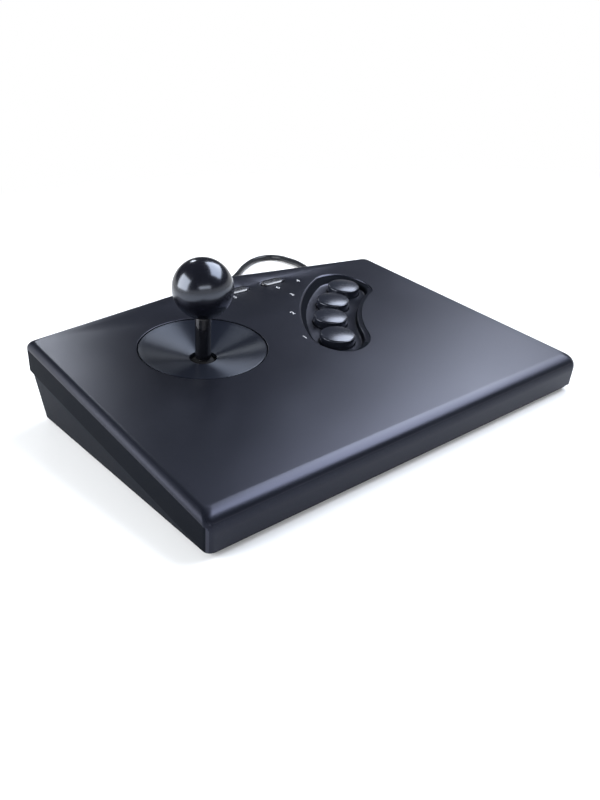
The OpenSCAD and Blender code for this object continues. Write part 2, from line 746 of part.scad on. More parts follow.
dome_foot_r = 7;
dome_foot_t = 0.8;
dome_top_r = 4;
dome_skin = 0.7;
module dome(i) color([0.80, 0.80, 0.78]) on_top() translate(cap_place(i)) down(board_top)
    dome_shape(dome_foot_r, dome_top_r, dome_h);
module dome_shape(foot, top, h) {
    rotate_extrude() polygon([[foot - 3 * dome_skin, 0], [foot, 0], [foot, dome_foot_t],
        [foot - dome_skin, dome_foot_t], [top, h], [0, h], [0, h - dome_foot_t],
        [top - dome_skin, h - dome_foot_t], [foot - 3 * dome_skin, dome_skin]]);
}
module dome_1() dome(1);
module dome_2() dome(2);
module dome_3() dome(3);
module dome_4() dome(4);

module button_board() color([0.10, 0.35, 0.18]) on_top() down(board_low) difference() {
    linear_extrude(board_t) translate([arc_u, arc_v]) intersection() {
        difference() {
            circle(board_out_r);
            circle(board_in_r);
        }
        polygon([[0, 0], 2 * board_out_r * [cos(board_right), sin(board_right)],
            2 * board_out_r * [cos(board_left), sin(board_left)]]);
    }
    at_board_bosses() down(cut) cylinder(h = board_t + 2 * cut, r = post_hole_r);
}

small_board_low = small_board_top + board_t;
module board_screws() color([0.55, 0.55, 0.57]) on_top() {
    at_board_bosses() down(board_low) screw(board_t + pilot_len - cut);
    at_small_bosses() down(small_board_low) screw(board_t + pilot_len - 2 * cut);
}

module small_board() color([0.10, 0.35, 0.18]) on_top() down(small_board_low) difference() {
    translate([pill_u, pill_v, 0]) rounded_plate([small_board_len, small_board_wid], small_board_corner, board_t);
    at_small_bosses() down(cut) cylinder(h = board_t + 2 * cut, r = post_hole_r);
}

pill_bevel = 0.8;
module small_button(s) color([0.14, 0.15, 0.17]) on_top() translate(pill_place(s)) {
    down(pill_under + seat_gap) linear_extrude(pill_under + seat_gap + pill_rise - pill_bevel)
        slot_shape(pill_len, pill_wid);
    translate([0, 0, pill_rise - pill_bevel]) linear_extrude(pill_bevel / 2)
        slot_shape(pill_len - pill_bevel / 2, pill_wid - pill_bevel / 2);
    translate([0, 0, pill_rise - pill_bevel / 2]) linear_extrude(pill_bevel / 2)
        slot_shape(pill_len - 2 * pill_bevel, pill_wid - 2 * pill_bevel);
    down(pill_flange_low) linear_extrude(pill_flange_t)
        slot_shape(pill_len + 2 * pill_flange, pill_wid + 2 * pill_flange);
    down(pill_stem_low) cylinder(h = pill_travel + cut / 2, r = small_dome_r / 2);
}
module start_button() small_button(1);
module select_button() small_button(-1);

module small_dome(s) color([0.80, 0.80, 0.78]) on_top() translate(pill_place(s)) down(small_board_top)
    dome_shape(small_dome_r + dome_skin, small_dome_r / 2, small_dome_h);
module small_dome_start() small_dome(1);
module small_dome_select() small_dome(-1);

// Wires inside the case
loom_r = 1.5;
loom_ring_r = norm([terminal_end, terminal_apart + terminal_w / 2]) + seat_gap + loom_r;
loom_step = 15;
loom_start = [lever_u + loom_ring_r + loom_r + seat_gap, lever_v, -switch_mid];
loom_front = 31;
loom_end = [arc_u - arc_r, lever_v - loom_front, -board_low - loom_r - seat_gap];
loom_shares = [[0.17, 0.11, 0.15], [0.40, 0.33, 0.35], [0.57, 0.56, 0.58], [0.69, 0.74, 0.76],
    [0.83, 0.9, 0.92], [1, 1, 1]];
loom_points = concat([loom_start, loom_start + [2 * loom_r, 0, 0]], [for (f = loom_shares)
    [mix(loom_start.x + 2 * loom_r, loom_end.x, f.x), mix(loom_start.y, loom_end.y, f.y),
        mix(loom_start.z, loom_end.z, f.z)]]);
module lever_loom() color([0.55, 0.10, 0.10]) on_top() {
    translate([lever_u, lever_v, 0]) tube([for (a = [-90:loom_step:180])
        [loom_ring_r * cos(a), loom_ring_r * sin(a), -switch_mid]], loom_r, 8);
    tube(loom_points, loom_r, 8);
}

board_loom_r = 1.1;
board_loom_steps = [[-91, 130.5, -13], [-89, 124.5, -13.3], [-86, 118.5, -13.6], [-82, 112.5, -13.5], [-78, 107.5, -13.3]];
board_loom_points = [for (p = board_loom_steps) p + [arc_u, arc_v, 0]];
module board_loom() color([0.55, 0.10, 0.10]) on_top() tube(board_loom_points, board_loom_r, 8);

relief_back = exit_inset + base_t + exit_slack + exit_flange_t;
route_base = [exit_split.x, exit_split.y, 0];
lead_start = [exit_split.x - relief_back * sin(exit_deg), exit_split.y - relief_back * cos(exit_deg), exit_z];
inside_steps = [[-2.4, -16.8, 19], [-2.4, -25.8, 18.5], [-2.4, -34.8, 18], [-0.4, -44.8, 18],
    [2.6, -53.8, 19], [5.6, -61.8, 21], [7.6, -68.8, 22.5], [9.6, -74.8, 22.8]];
lead_points = concat([lead_start, lead_start - cord_d * [sin(exit_deg), cos(exit_deg), 0]],
    [for (p = inside_steps) route_base + p]);
module lead_inside() color([0.08, 0.08, 0.08]) tube(lead_points, cord_d / 2, 8);

// Strain relief, with the cord's first point at its end
relief_tip_r = 3.6;
relief_y = exit_slack + exit_collar_t + relief_len;
relief_ribs = 5;
module strain_relief() color([0.07, 0.07, 0.08]) at_exit() {
    down(base_t + exit_slack + exit_flange_t) cylinder(h = exit_flange_t, r = exit_flange_r);
    down(base_t + exit_slack + cut / 2) cylinder(h = base_t + 2 * exit_slack + cut, r = exit_neck_r);
    translate([0, 0, exit_slack]) cylinder(h = exit_collar_t, r = exit_collar_r);
    translate([0, 0, exit_slack + exit_collar_t]) cylinder(h = relief_len, r1 = exit_neck_r, r2 = relief_tip_r);
    for (i = [1:relief_ribs]) translate([0, 0, exit_slack + exit_collar_t + relief_len * i / (relief_ribs + 1)])
        cylinder(h = relief_len / (2 * relief_ribs + 2), r = mix(exit_collar_r, relief_tip_r, i / relief_ribs));
}

// The cord runs from the strain relief to the loop behind the case and back to the coil
relief_end = [exit_split.x - exit_inset * sin(exit_deg) + relief_y * sin(exit_deg),
    exit_split.y - exit_inset * cos(exit_deg) + relief_y * cos(exit_deg), exit_z];
relief_next = relief_end + 2 * cord_d * [sin(exit_deg), cos(exit_deg), 0];
lead_steps = [[9.6, 52.2, 16], [11.6, 65.2, 11], [14.6, 78.2, 6.5], [19.6, 92.2, 3.6],
    [26.6, 106.2, 2.9], [35.6, 119.2, 2.9], [46.6, 131.2, 2.9], [57.6, 141.2, 2.9], [68.6, 149.2, 2.9],
    [78.6, 157.2, 2.9], [89.6, 167.2, 2.9], [100.6, 177.2, 2.9], [112.6, 186.2, 2.9],
    [124.6, 193.2, 2.9], [136.6, 196.2, 2.9], [146.6, 192.2, 2.9], [151.6, 181.2, 2.9],
    [151.6, 168.2, 2.9], [150.6, 155.2, 2.9], [147.6, 143.2, 2.9], [143.6, 131.2, 2.9],
    [137.6, 119.2, 2.9], [128.6, 109.2, 2.9], [115.6, 102.2, 3.1], [102.6, 98.2, 3.6],
    [89.6, 97.2, 3.9]];
lead_route = [for (p = lead_steps) route_base + p];

// The coil: a spiral in on the lower layer and out again on the upper one
coil_right = 65.6;
coil_behind = 54.2;
coil_x = route_base.x + coil_right;
coil_y = route_base.y + coil_behind;
coil_gap = 0.6;
coil_pitch = cord_d + coil_gap;
coil_out_r = coil_r + coil_pitch * coil_turns / 2;
coil_in_r = coil_r - coil_pitch * coil_turns / 2;
coil_steps = 24;
tie_t = 0.8;
coil_low_z = tie_t + seat_gap + cord_d / 2;
climb_turns = 0.5;
function smooth(t) = let (c = max(0, min(1, t))) c * c * (3 - 2 * c);
function coil_point(turn) =
    let (a = 90 + 360 * turn,
        r = turn < coil_turns ? coil_out_r - coil_pitch * turn : coil_in_r + coil_pitch * (turn - coil_turns),
        z = coil_low_z + coil_pitch * smooth((turn - coil_turns) / climb_turns + 0.5))
    [coil_x + r * cos(a), coil_y + r * sin(a), z];
coil_last = round(2 * coil_turns * coil_steps);
coil_start = coil_point(0) + [cord_d, 0, 0];
coil_end = coil_point(2 * coil_turns);
plug_x = coil_end.x + 6 * cord_d;
plug_h = 15;
plug_z = plug_h / 2;
coil_path = concat([coil_start], [for (i = [0:coil_last]) coil_point(i / coil_steps)],
    [[coil_end.x + 1.5 * cord_d, coil_end.y, mix(coil_end.z, plug_z, 0.2)],
    [coil_end.x + 3.2 * cord_d, coil_end.y, mix(coil_end.z, plug_z, 0.7)],
    [plug_x - cord_d, coil_end.y, plug_z], [plug_x, coil_end.y, plug_z]]);
coil_least = min([for (i = [0:coil_last], j = [i + coil_steps / 2:1:coil_last])
    norm(coil_point(i / coil_steps) - coil_point(j / coil_steps))]) - cord_d;
echo(coil_gap_to_itself = coil_least);

module cord_lead() color([0.08, 0.08, 0.08])
    tube(concat([relief_end, relief_next], lead_route, [coil_start + [cord_d, 0, 0], coil_start]), cord_d / 2, 8);
module cord_coil() color([0.08, 0.08, 0.08]) tube(coil_path, cord_d / 2, 6);

tie_wide = 8;
tie_slack = 0.5;
module cord_tie() color([0.06, 0.06, 0.06]) {
    span = coil_out_r - coil_in_r + cord_d + 2 * tie_slack;
    high = coil_low_z + coil_pitch + cord_d / 2 + tie_slack - tie_t;
    translate([coil_x - coil_r, coil_y + tie_wide / 2, tie_t + high / 2]) rotate([90, 0, 0])
        linear_extrude(tie_wide) difference() {
            square([span + 2 * tie_t, high + 2 * tie_t], center = true);
            square([span, high], center = true);
        }
}

// Connector: a tapered hood, a D-shaped metal shell with two rows of pins, and two thumb screws
plug_neck_r = 5;
plug_neck_len = 8;
plug_taper_len = 14;
plug_body_len = 16;
plug_w = 39;
plug_face_t = 3;
shell_w = 25;
shell_h = 8.4;
shell_out = 6;
shell_t = 0.5;
pin_radius = 0.5;
pin_pitch = 2.77;
pin_row = 2.84;
thumb_apart = 33.3;
thumb_r = 2.6;
thumb_len = 7;
thumb_thread_r = 1.5;
module at_plug() {
    translate([plug_x, coil_end.y, plug_z]) rotate([90, 0, 90]) children();
}
module plug_shell() color([0.07, 0.07, 0.08]) at_plug() difference() {
    union() {
        cylinder(h = plug_neck_len, r1 = plug_neck_r - cut, r2 = plug_neck_r);
        hull() {
            translate([0, 0, plug_neck_len]) rounded_plate([plug_h - plug_face_t, plug_h - plug_face_t],
                plug_face_t, cut);
            translate([0, 0, plug_neck_len + plug_taper_len - cut])
                rounded_plate([thumb_apart - 2 * thumb_r - 2 * cut, plug_h], plug_face_t, cut);
        }
        translate([0, 0, plug_neck_len + plug_taper_len])
            rounded_plate([thumb_apart - 2 * thumb_r - 2 * cut, plug_h], plug_face_t, plug_body_len - plug_face_t);
        translate([0, 0, plug_neck_len + plug_taper_len + plug_body_len - plug_face_t])
            rounded_plate([plug_w, plug_h], plug_face_t, plug_face_t);
    }
    for (s = [-1, 1]) translate([s * thumb_apart / 2, 0, 0])
        cylinder(h = plug_x, r = thumb_thread_r + run_gap);
}
plug_face = plug_neck_len + plug_taper_len + plug_body_len;
module shell_shape(inset) {
    slot_shape(shell_w - 2 * inset, shell_h - 2 * inset);
}
module plug_insert() color([0.7, 0.7, 0.72]) at_plug() translate([0, 0, plug_face]) {
    difference() {
        linear_extrude(shell_out) shell_shape(0);
        translate([0, 0, shell_t]) linear_extrude(shell_out) shell_shape(shell_t);
    }
    for (i = [-3.5:1:3.5]) translate([i * pin_pitch, pin_row / 2, 0]) cylinder(h = shell_out - shell_t, r = pin_radius);
    for (i = [-3:1:3]) translate([i * pin_pitch, -pin_row / 2, 0]) cylinder(h = shell_out - shell_t, r = pin_radius);
}
module plug_screws() color([0.6, 0.6, 0.62]) at_plug() for (s = [-1, 1]) translate([s * thumb_apart / 2, 0, 0]) {
    translate([0, 0, plug_face - plug_face_t - seat_gap - thumb_len]) cylinder(h = thumb_len, r = thumb_r);
    translate([0, 0, plug_face - plug_face_t - seat_gap - cut]) cylinder(h = plug_face_t + shell_out, r = thumb_thread_r);
}

top_cover();
base_shell();
rubber_feet();
case_screws();
lever_plate();
lever_housing();
restrictor_gate();
lever_screws();
switch_right();
switch_back();
switch_left();
switch_front();
spring_seat();
pivot_ring();
pivot_block();
lever_shaft();
shaft_sleeve();
ball_top();
dust_cover();
centring_spring();
actuator();
e_clip();
main_button_1();
main_button_2();
main_button_3();
main_button_4();
dome_1();
dome_2();
dome_3();
dome_4();
button_board();
board_screws();
start_button();
select_button();
small_dome_start();
small_dome_select();
small_board();
lever_loom();
board_loom();
lead_inside();
strain_relief();
cord_lead();
cord_coil();
cord_tie();
plug_shell();
plug_insert();
plug_screws();
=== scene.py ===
import json
import math
import bpy
import bmesh
from mathutils import Matrix, Vector
from mathutils.geometry import delaunay_2d_cdt


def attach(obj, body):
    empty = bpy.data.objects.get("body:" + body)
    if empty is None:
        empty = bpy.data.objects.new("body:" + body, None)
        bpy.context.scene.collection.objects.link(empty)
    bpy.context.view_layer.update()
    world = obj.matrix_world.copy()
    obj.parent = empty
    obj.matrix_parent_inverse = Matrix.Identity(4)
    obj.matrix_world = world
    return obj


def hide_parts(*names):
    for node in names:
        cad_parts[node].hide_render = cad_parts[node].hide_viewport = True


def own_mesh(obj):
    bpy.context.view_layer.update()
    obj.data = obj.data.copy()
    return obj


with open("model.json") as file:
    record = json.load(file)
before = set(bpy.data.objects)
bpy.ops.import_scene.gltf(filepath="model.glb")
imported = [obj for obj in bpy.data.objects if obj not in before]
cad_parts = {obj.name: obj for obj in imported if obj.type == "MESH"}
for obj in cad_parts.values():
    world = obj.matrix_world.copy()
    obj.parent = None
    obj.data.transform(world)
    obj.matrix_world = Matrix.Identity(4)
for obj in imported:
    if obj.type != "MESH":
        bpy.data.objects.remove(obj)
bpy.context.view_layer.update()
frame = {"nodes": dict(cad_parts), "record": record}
bodyOfNode = {node: body for body, nodes in frame["record"]["behaviour"]["bodies"].items() for node in nodes}

mm = 0.001
slope = {"tilt": 8.9, "frontY": -107.82347, "frontZ": 21.991}    # the sloping top: u right, v up the slope, w out of it
tilt = math.radians(slope["tilt"])
sinTilt, cosTilt = math.sin(tilt), math.cos(tilt)


def shifted(place, x, y, z):
    return place @ Matrix.Translation((x, y, z))


floorFrame = Matrix.Identity(4)
lidFrame = Matrix.Translation((0, slope["frontY"], slope["frontZ"])) @ Matrix.Rotation(tilt, 4, "X")
leverPlace = {"u": -52.4, "v": 131.6, "pivotDepth": 19}
leverFrame = shifted(lidFrame, leverPlace["u"], leverPlace["v"], 0)


# small tools for meshes

def mix(a, b, t):
    return a + (b - a) * t


def smoothStep(t):
    t = max(0, min(1, t))
    return t * t * (3 - 2 * t)


def around(angle, radius):
    return radius * math.cos(math.radians(angle)), radius * math.sin(math.radians(angle))


def addObject(name, data):
    piece = bpy.data.objects.new(name, data)
    bpy.context.scene.collection.objects.link(piece)
    return piece


def newMeshPiece(name, bm, place, sharpAngle=32):
    # millimetres in the place's own axes become metres in the model's
    bmesh.ops.recalc_face_normals(bm, faces=bm.faces)
    mesh = bpy.data.meshes.new(name)
    bm.to_mesh(mesh)
    bm.free()
    mesh.transform(Matrix.Scale(mm, 4) @ place)
    mesh.shade_smooth()
    mesh.set_sharp_from_angle(angle=math.radians(sharpAngle))
    return addObject(name, mesh)


def finishPiece(piece, nodes, finish, body=None):
    # the finish goes on last, so a piece whose tree has set it already gives none
    nodes = [nodes] if isinstance(nodes, str) else list(nodes)
    if finish:
        piece.data.materials.clear()
        piece.data.materials.append(paint[finish])
    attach(piece, body or bodyOfNode[nodes[0]])
    if nodes:
        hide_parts(*nodes)
    return piece


def addRing(bm, points):
    return [bm.verts.new(p) for p in points]


def bridge(bm, low, high):
    n = len(low)
    for i in range(n):
        bm.faces.new((low[i], low[(i + 1) % n], high[(i + 1) % n], high[i]))


def skin(bm, rings):
    # joins rings, each of plain points or of vertices that are there already
    rings = [ring if isinstance(ring[0], bmesh.types.BMVert) else addRing(bm, ring) for ring in rings]
    for low, high in zip(rings, rings[1:]):
        bridge(bm, low, high)
    return rings


def insideRing(x, y, ring):
    inside = False
    for a, b in zip(ring, ring[1:] + ring[:1]):
        if (a[1] > y) != (b[1] > y) and x < (b[0] - a[0]) * (y - a[1]) / (b[1] - a[1]) + a[0]:
            inside = not inside
    return inside


def fillSheet(bm, outer, holes=()):
    # a flat face between an outer ring and its holes, as triangles that keep every ring point
    rings = [outer, *holes]
    verts = [v for ring in rings for v in ring]
    edges, start = [], 0
    for ring in rings:
        n = len(ring)
        edges += [(start + i, start + (i + 1) % n) for i in range(n)]
        start += n
    _, _, faces, origin, _, _ = delaunay_2d_cdt([v.co.xy for v in verts], edges, [], 0, 1e-6)
    flat = [[(v.co.x, v.co.y) for v in ring] for ring in rings]
    for face in faces:
        corner = [verts[origin[i][0]] for i in face]
        x, y = sum(v.co.x for v in corner) / 3, sum(v.co.y for v in corner) / 3
        if insideRing(x, y, flat[0]) and not any(insideRing(x, y, hole) for hole in flat[1:]):
            bm.faces.new(corner)


def circleRing(u, v, radius, w, steps):
    return [(u + x, v + y, w) for x, y in (around(360 * k / steps, radius) for k in range(steps))]


def slotRing(u, v, length, width, w, steps=14):
    # a stadium: two half rounds and the straights between them
    reach, radius, ring = (length - width) / 2, width / 2, []
    for side, first in ((1, -90), (-1, 90)):
        for k in range(steps + 1):
            x, y = around(first + 180 * k / steps, radius)
            ring.append((u + side * reach + x, v + y, w))
    return ring


def softLine(points, steps=4):
    # a line of (radius, height, rounding) corners, each corner rounded
    line = []
    for i, (radius, height, size) in enumerate(points):
        here = Vector((radius, height))
        if not size or i in (0, len(points) - 1):
            line.append(tuple(here))
            continue
        before, after = Vector(points[i - 1][:2]) - here, Vector(points[i + 1][:2]) - here
        reach = min(size, before.length * 0.49, after.length * 0.49)
        a, b = here + before.normalized() * reach, here + after.normalized() * reach
        for k in range(steps + 1):
            t = k / steps
            line.append(tuple(a * (1 - t) ** 2 + here * 2 * t * (1 - t) + b * t ** 2))
    return line


def turnedPiece(name, profile, place, steps=64, sharpAngle=32):
    # the profile of (radius, height) runs from one pole or rim to the other
    bm = bmesh.new()
    rings = [addRing(bm, [(0, 0, z)] if r < 1e-6 else circleRing(0, 0, r, z, steps)) for r, z in profile]
    closed = len(rings[0]) > 1 and len(rings[-1]) > 1
    for low, high in zip(rings, rings[1:] + (rings[:1] if closed else [])):
        if len(low) > 1 and len(high) > 1:
            bridge(bm, low, high)
        elif len(low) > 1 or len(high) > 1:
            pole, ring = (low[0], high) if len(low) == 1 else (high[0], low)
            for i in range(steps):
                bm.faces.new((pole, ring[i], ring[(i + 1) % steps]))
    return newMeshPiece(name, bm, place, sharpAngle)


# small tools for node trees

def addNode(tree, kind, inputs=None, **settings):
    node = tree.nodes.new(kind)
    for key, value in settings.items():
        setattr(node, key, value)
    for key, value in (inputs or {}).items():
        if isinstance(value, bpy.types.NodeSocket):
            tree.links.new(value, node.inputs[key])
        else:
            node.inputs[key].default_value = value
    return node


def lookNode(tree, kind, inputs=None, **settings):
    return addNode(tree, "ShaderNode" + kind, inputs, **settings).outputs[0]


def shapeNode(tree, kind, inputs=None, **settings):
    return addNode(tree, "GeometryNode" + kind, inputs, **settings).outputs[0]


def maths(tree, operation, *values):
    return lookNode(tree, "Math", dict(enumerate(values)), operation=operation)


def geometryTree(name, sizes):
    # a group with a mesh or curve, a material and the named sizes as inputs
    tree = bpy.data.node_groups.new(name, "GeometryNodeTree")
    tree.interface.new_socket("Geometry", in_out="OUTPUT", socket_type="NodeSocketGeometry")
    for label, kind in {"Geometry": "Geometry", **sizes, "Material": "Material"}.items():
        tree.interface.new_socket(label, in_out="INPUT", socket_type="NodeSocket" + kind)
    return tree, tree.nodes.new("NodeGroupInput").outputs


def endTree(tree, given, shown):
    real = shapeNode(tree, "RealizeInstances", {"Geometry": shown})
    painted = shapeNode(tree, "SetMaterial", {"Geometry": real, "Material": given["Material"]})
    tree.links.new(painted, tree.nodes.new("NodeGroupOutput").inputs[0])


def tube(tree, curve, radius, sides):
    ring = shapeNode(tree, "CurvePrimitiveCircle", {"Resolution": sides, "Radius": radius})
    return shapeNode(tree, "CurveToMesh", {"Curve": curve, "Profile Curve": ring, "Fill Caps": True})


def grow(name, source, tree=None, sizes=None, place=None, sharpAngle=None):
    # runs a tree on a mesh or curve, keeps the result as a plain mesh and drops the modifier
    piece = addObject(name, source)
    if tree:
        modifier = piece.modifiers.new("shape", "NODES")
        modifier.node_group = tree
        for item in tree.interface.items_tree:
            if item.item_type == "SOCKET" and item.in_out == "INPUT" and item.name in sizes:
                modifier[item.identifier] = sizes[item.name]
    graph = bpy.context.evaluated_depsgraph_get()
    mesh = bpy.data.meshes.new_from_object(piece.evaluated_get(graph), depsgraph=graph)
    bpy.data.objects.remove(piece)
    mesh.name = name
    if place:
        place = place.copy()
        place.translation *= mm
        mesh.transform(place)
    if sharpAngle is not None:
        mesh.shade_smooth()
    if sharpAngle:
        mesh.set_sharp_from_angle(angle=math.radians(sharpAngle))
    return addObject(name, mesh)


def pointMesh(name, places):
    mesh = bpy.data.meshes.new(name)
    mesh.from_pydata([Vector(p) * mm for p in places], [], [])
    return mesh


def lineCurve(name, points):
    curve = bpy.data.curves.new(name, "CURVE")
    curve.dimensions = "3D"
    spline = curve.splines.new("POLY")
    spline.points.add(len(points) - 1)
    for spot, p in zip(spline.points, points):
        spot.co = (p[0] * mm, p[1] * mm, p[2] * mm, 1)
    return curve


def smoothLine(points, step):
    # a rounded line through the points, one new point about every step
    line = []
    for i in range(len(points) - 1):
        p0, p1, p2, p3 = (Vector(points[min(max(i + k, 0), len(points) - 1)]) for k in (-1, 0, 1, 2))
        n = max(1, round((p2 - p1).length / step))
        for k in range(n):
            t = k / n
            line.append(0.5 * (2 * p1 + (p2 - p0) * t + (2 * p0 - 5 * p1 + 4 * p2 - p3) * t ** 2
                               + (3 * p1 - p0 - 3 * p2 + p3) * t ** 3))
    return line + [Vector(points[-1])]


# finishes, one function for each kind of stuff

def shaderTree(name, specular=0.5, tint=(1, 1, 1)):
    material = bpy.data.materials.new(name)
    material.use_nodes = True
    tree = material.node_tree
    shader = tree.nodes["Principled BSDF"]
    shader.inputs["Specular IOR Level"].default_value = specular
    shader.inputs["Specular Tint"].default_value = (*tint, 1)
    return material, tree, shader, addNode(tree, "ShaderNodeTexCoord").outputs["Object"]


def noise(tree, where, scale, detail=3.0, roughness=0.5):
    sizes = {"Vector": where, "Scale": scale, "Detail": detail, "Roughness": roughness}
    return addNode(tree, "ShaderNodeTexNoise", sizes).outputs["Fac"]


def spread(tree, value, low, high, start=0.0, end=1.0, **settings):
    ends = {"Value": value, "From Min": low, "From Max": high, "To Min": start, "To Max": end}
    return lookNode(tree, "MapRange", ends, **settings)


def blendColours(tree, share, a, b):
    node = addNode(tree, "ShaderNodeMix", {0: share}, data_type="RGBA")
    for socket, value in ((node.inputs[6], a), (node.inputs[7], b)):
        if isinstance(value, bpy.types.NodeSocket):
            tree.links.new(value, socket)
        else:
            socket.default_value = (*value, 1)
    return node.outputs[2]


def dress(tree, shader, colour, rough, height=None, depth=0.0):
    tree.links.new(colour, shader.inputs["Base Color"])
    tree.links.new(rough, shader.inputs["Roughness"])
    if height is not None:
        bump = lookNode(tree, "Bump", {"Height": height, "Distance": depth, "Strength": 1.0})
        tree.links.new(bump, shader.inputs["Normal"])


def mouldedFinish(name, colour, shade, fleck, fleckShare, cloud, grain, depth, rough, swing, specular, tint=(1, 1, 1)):
    # moulded plastic: a spark-eroded grain, faint flow clouding, and skin that is glossier where it was handled
    material, tree, shader, where = shaderTree(name, specular, tint)
    clouds = noise(tree, where, cloud, 4.0)
    clouded = blendColours(tree, spread(tree, clouds, 0.35, 0.65), colour, shade)
    flecks = spread(tree, noise(tree, where, grain * 0.37, 2.0), 0.56, 0.7, 0, fleckShare)
    pits = addNode(tree, "ShaderNodeTexVoronoi", {"Vector": where, "Scale": grain}, feature="F1").outputs["Distance"]
    height = maths(tree, "ADD", pits, noise(tree, where, grain * 1.6, 2.0))
    dress(tree, shader, blendColours(tree, flecks, clouded, fleck),
          spread(tree, clouds, 0.3, 0.7, rough - swing, rough + swing), height, depth)
    return material


def turnedFinish(name, look):
    # the dish's grain runs in rings round the lever, so light spreads across it in fans
    material, tree, shader, where = shaderTree(name, look["specular"], look["tint"])
    turnIn = lookNode(tree, "Mapping", {"Vector": where, "Rotation": (-tilt, 0, 0)})
    axisPoint = Matrix.Rotation(-tilt, 3, "X") @ (leverFrame.translation * mm)
    flat = lookNode(tree, "VectorMath", {0: turnIn, 1: tuple(axisPoint)}, operation="SUBTRACT")
    split = addNode(tree, "ShaderNodeSeparateXYZ", {"Vector": flat}).outputs
    level = lookNode(tree, "CombineXYZ", {"X": split["X"], "Y": split["Y"]})
    outward = lookNode(tree, "VectorMath", {0: level}, operation="NORMALIZE")
    tree.links.new(lookNode(tree, "Mapping", {"Vector": outward, "Rotation": (tilt, 0, 0)}), shader.inputs["Tangent"])
    shader.inputs["Anisotropic"].default_value = look["brushed"]
    cloud = noise(tree, where, look["cloud"])
    dress(tree, shader, blendColours(tree, spread(tree, cloud, 0.35, 0.65), look["colour"], look["shade"]),
          spread(tree, cloud, 0.3, 0.7, look["rough"] - 0.02, look["rough"] + 0.02))
    return material


def metalFinish(name, colour, shade, lines, rough, depth):
    # turned or rolled metal: fine lines along one axis and a few duller patches
    material, tree, shader, where = shaderTree(name)
    brushed = noise(tree, lookNode(tree, "Mapping", {"Vector": where, "Scale": lines}), 1.0)
    shader.inputs["Metallic"].default_value = 1.0
    dress(tree, shader, blendColours(tree, spread(tree, brushed, 0.3, 0.7), colour, shade),
          spread(tree, noise(tree, where, 90.0), 0.3, 0.7, rough * 0.75, rough * 1.3), brushed, depth)
    return material


def rubberFinish(name, colour, dust, powder, rough, depth, specular):
    # rubber: powdery specks on a matt skin
    material, tree, shader, where = shaderTree(name, specular)
    specks = noise(tree, where, powder, 5.0, 0.7)
    dress(tree, shader, blendColours(tree, spread(tree, specks, 0.45, 0.75), colour, dust),
          spread(tree, specks, 0.3, 0.7, rough - 0.08, rough + 0.08), specks, depth)
    return material


def boardFinish(name, look):
    # circuit board: green lacquer over copper tracks, with tinned dots
    material, tree, shader, where = shaderTree(name)
    white, black = (1, 1, 1, 1), (0, 0, 0, 1)
    bricks = {"Vector": where, "Scale": look["tracks"], "Mortar Size": 0.06, "Color1": white, "Color2": white, "Mortar": black}
    tracks = addNode(tree, "ShaderNodeTexBrick", bricks).outputs["Fac"]
    dots = addNode(tree, "ShaderNodeTexVoronoi", {"Vector": where, "Scale": look["dots"], "Randomness": 0.3})
    dotShare = spread(tree, dots.outputs["Distance"], 0.16, 0.13)
    lacquer = blendColours(tree, tracks, look["lacquer"], look["track"])
    dress(tree, shader, blendColours(tree, dotShare, lacquer, look["tin"]), spread(tree, dotShare, 0, 1, 0.32, 0.22),
          tracks, look["trackDepth"])
    return material


def wireFinish(name, look):
    # each strand of a loom takes its own colour from the strand number
    material, tree, shader, where = shaderTree(name)
    strand = addNode(tree, "ShaderNodeAttribute", attribute_name="strand").outputs["Fac"]
    ramp = addNode(tree, "ShaderNodeValToRGB", {"Fac": strand})
    ramp.color_ramp.interpolation = "CONSTANT"
    bands, colours = ramp.color_ramp.elements, look["colours"]
    while len(bands) < len(colours):
        bands.new(0.5)
    for i, colour in enumerate(colours):
        bands[i].position = i / len(colours)
        bands[i].color = (*colour, 1)
    scuff = noise(tree, where, 600.0)
    dusty = blendColours(tree, spread(tree, scuff, 0.5, 0.9, 0, 0.35), ramp.outputs[0], look["scuff"])
    dress(tree, shader, dusty, spread(tree, scuff, 0.3, 0.7, 0.35, 0.5))
    return material


def jacketFinish(name, look):
    # cord jacket: faint ripples along the cord from the strands inside, and dust in the surface
    material, tree, shader, where = shaderTree(name, look["specular"])
    along = addNode(tree, "ShaderNodeAttribute", attribute_name="along").outputs["Fac"]
    wave = maths(tree, "SINE", maths(tree, "MULTIPLY", along, look["ripples"]))
    dust = noise(tree, where, look["skin"], 4.0, 0.6)
    dress(tree, shader, blendColours(tree, spread(tree, dust, 0.4, 0.75), look["colour"], look["dust"]),
          spread(tree, dust, 0.3, 0.7, look["rough"] - 0.06, look["rough"] + 0.1),
          maths(tree, "ADD", spread(tree, wave, -1, 1, 0, 0.4), dust), look["depth"])
    return material


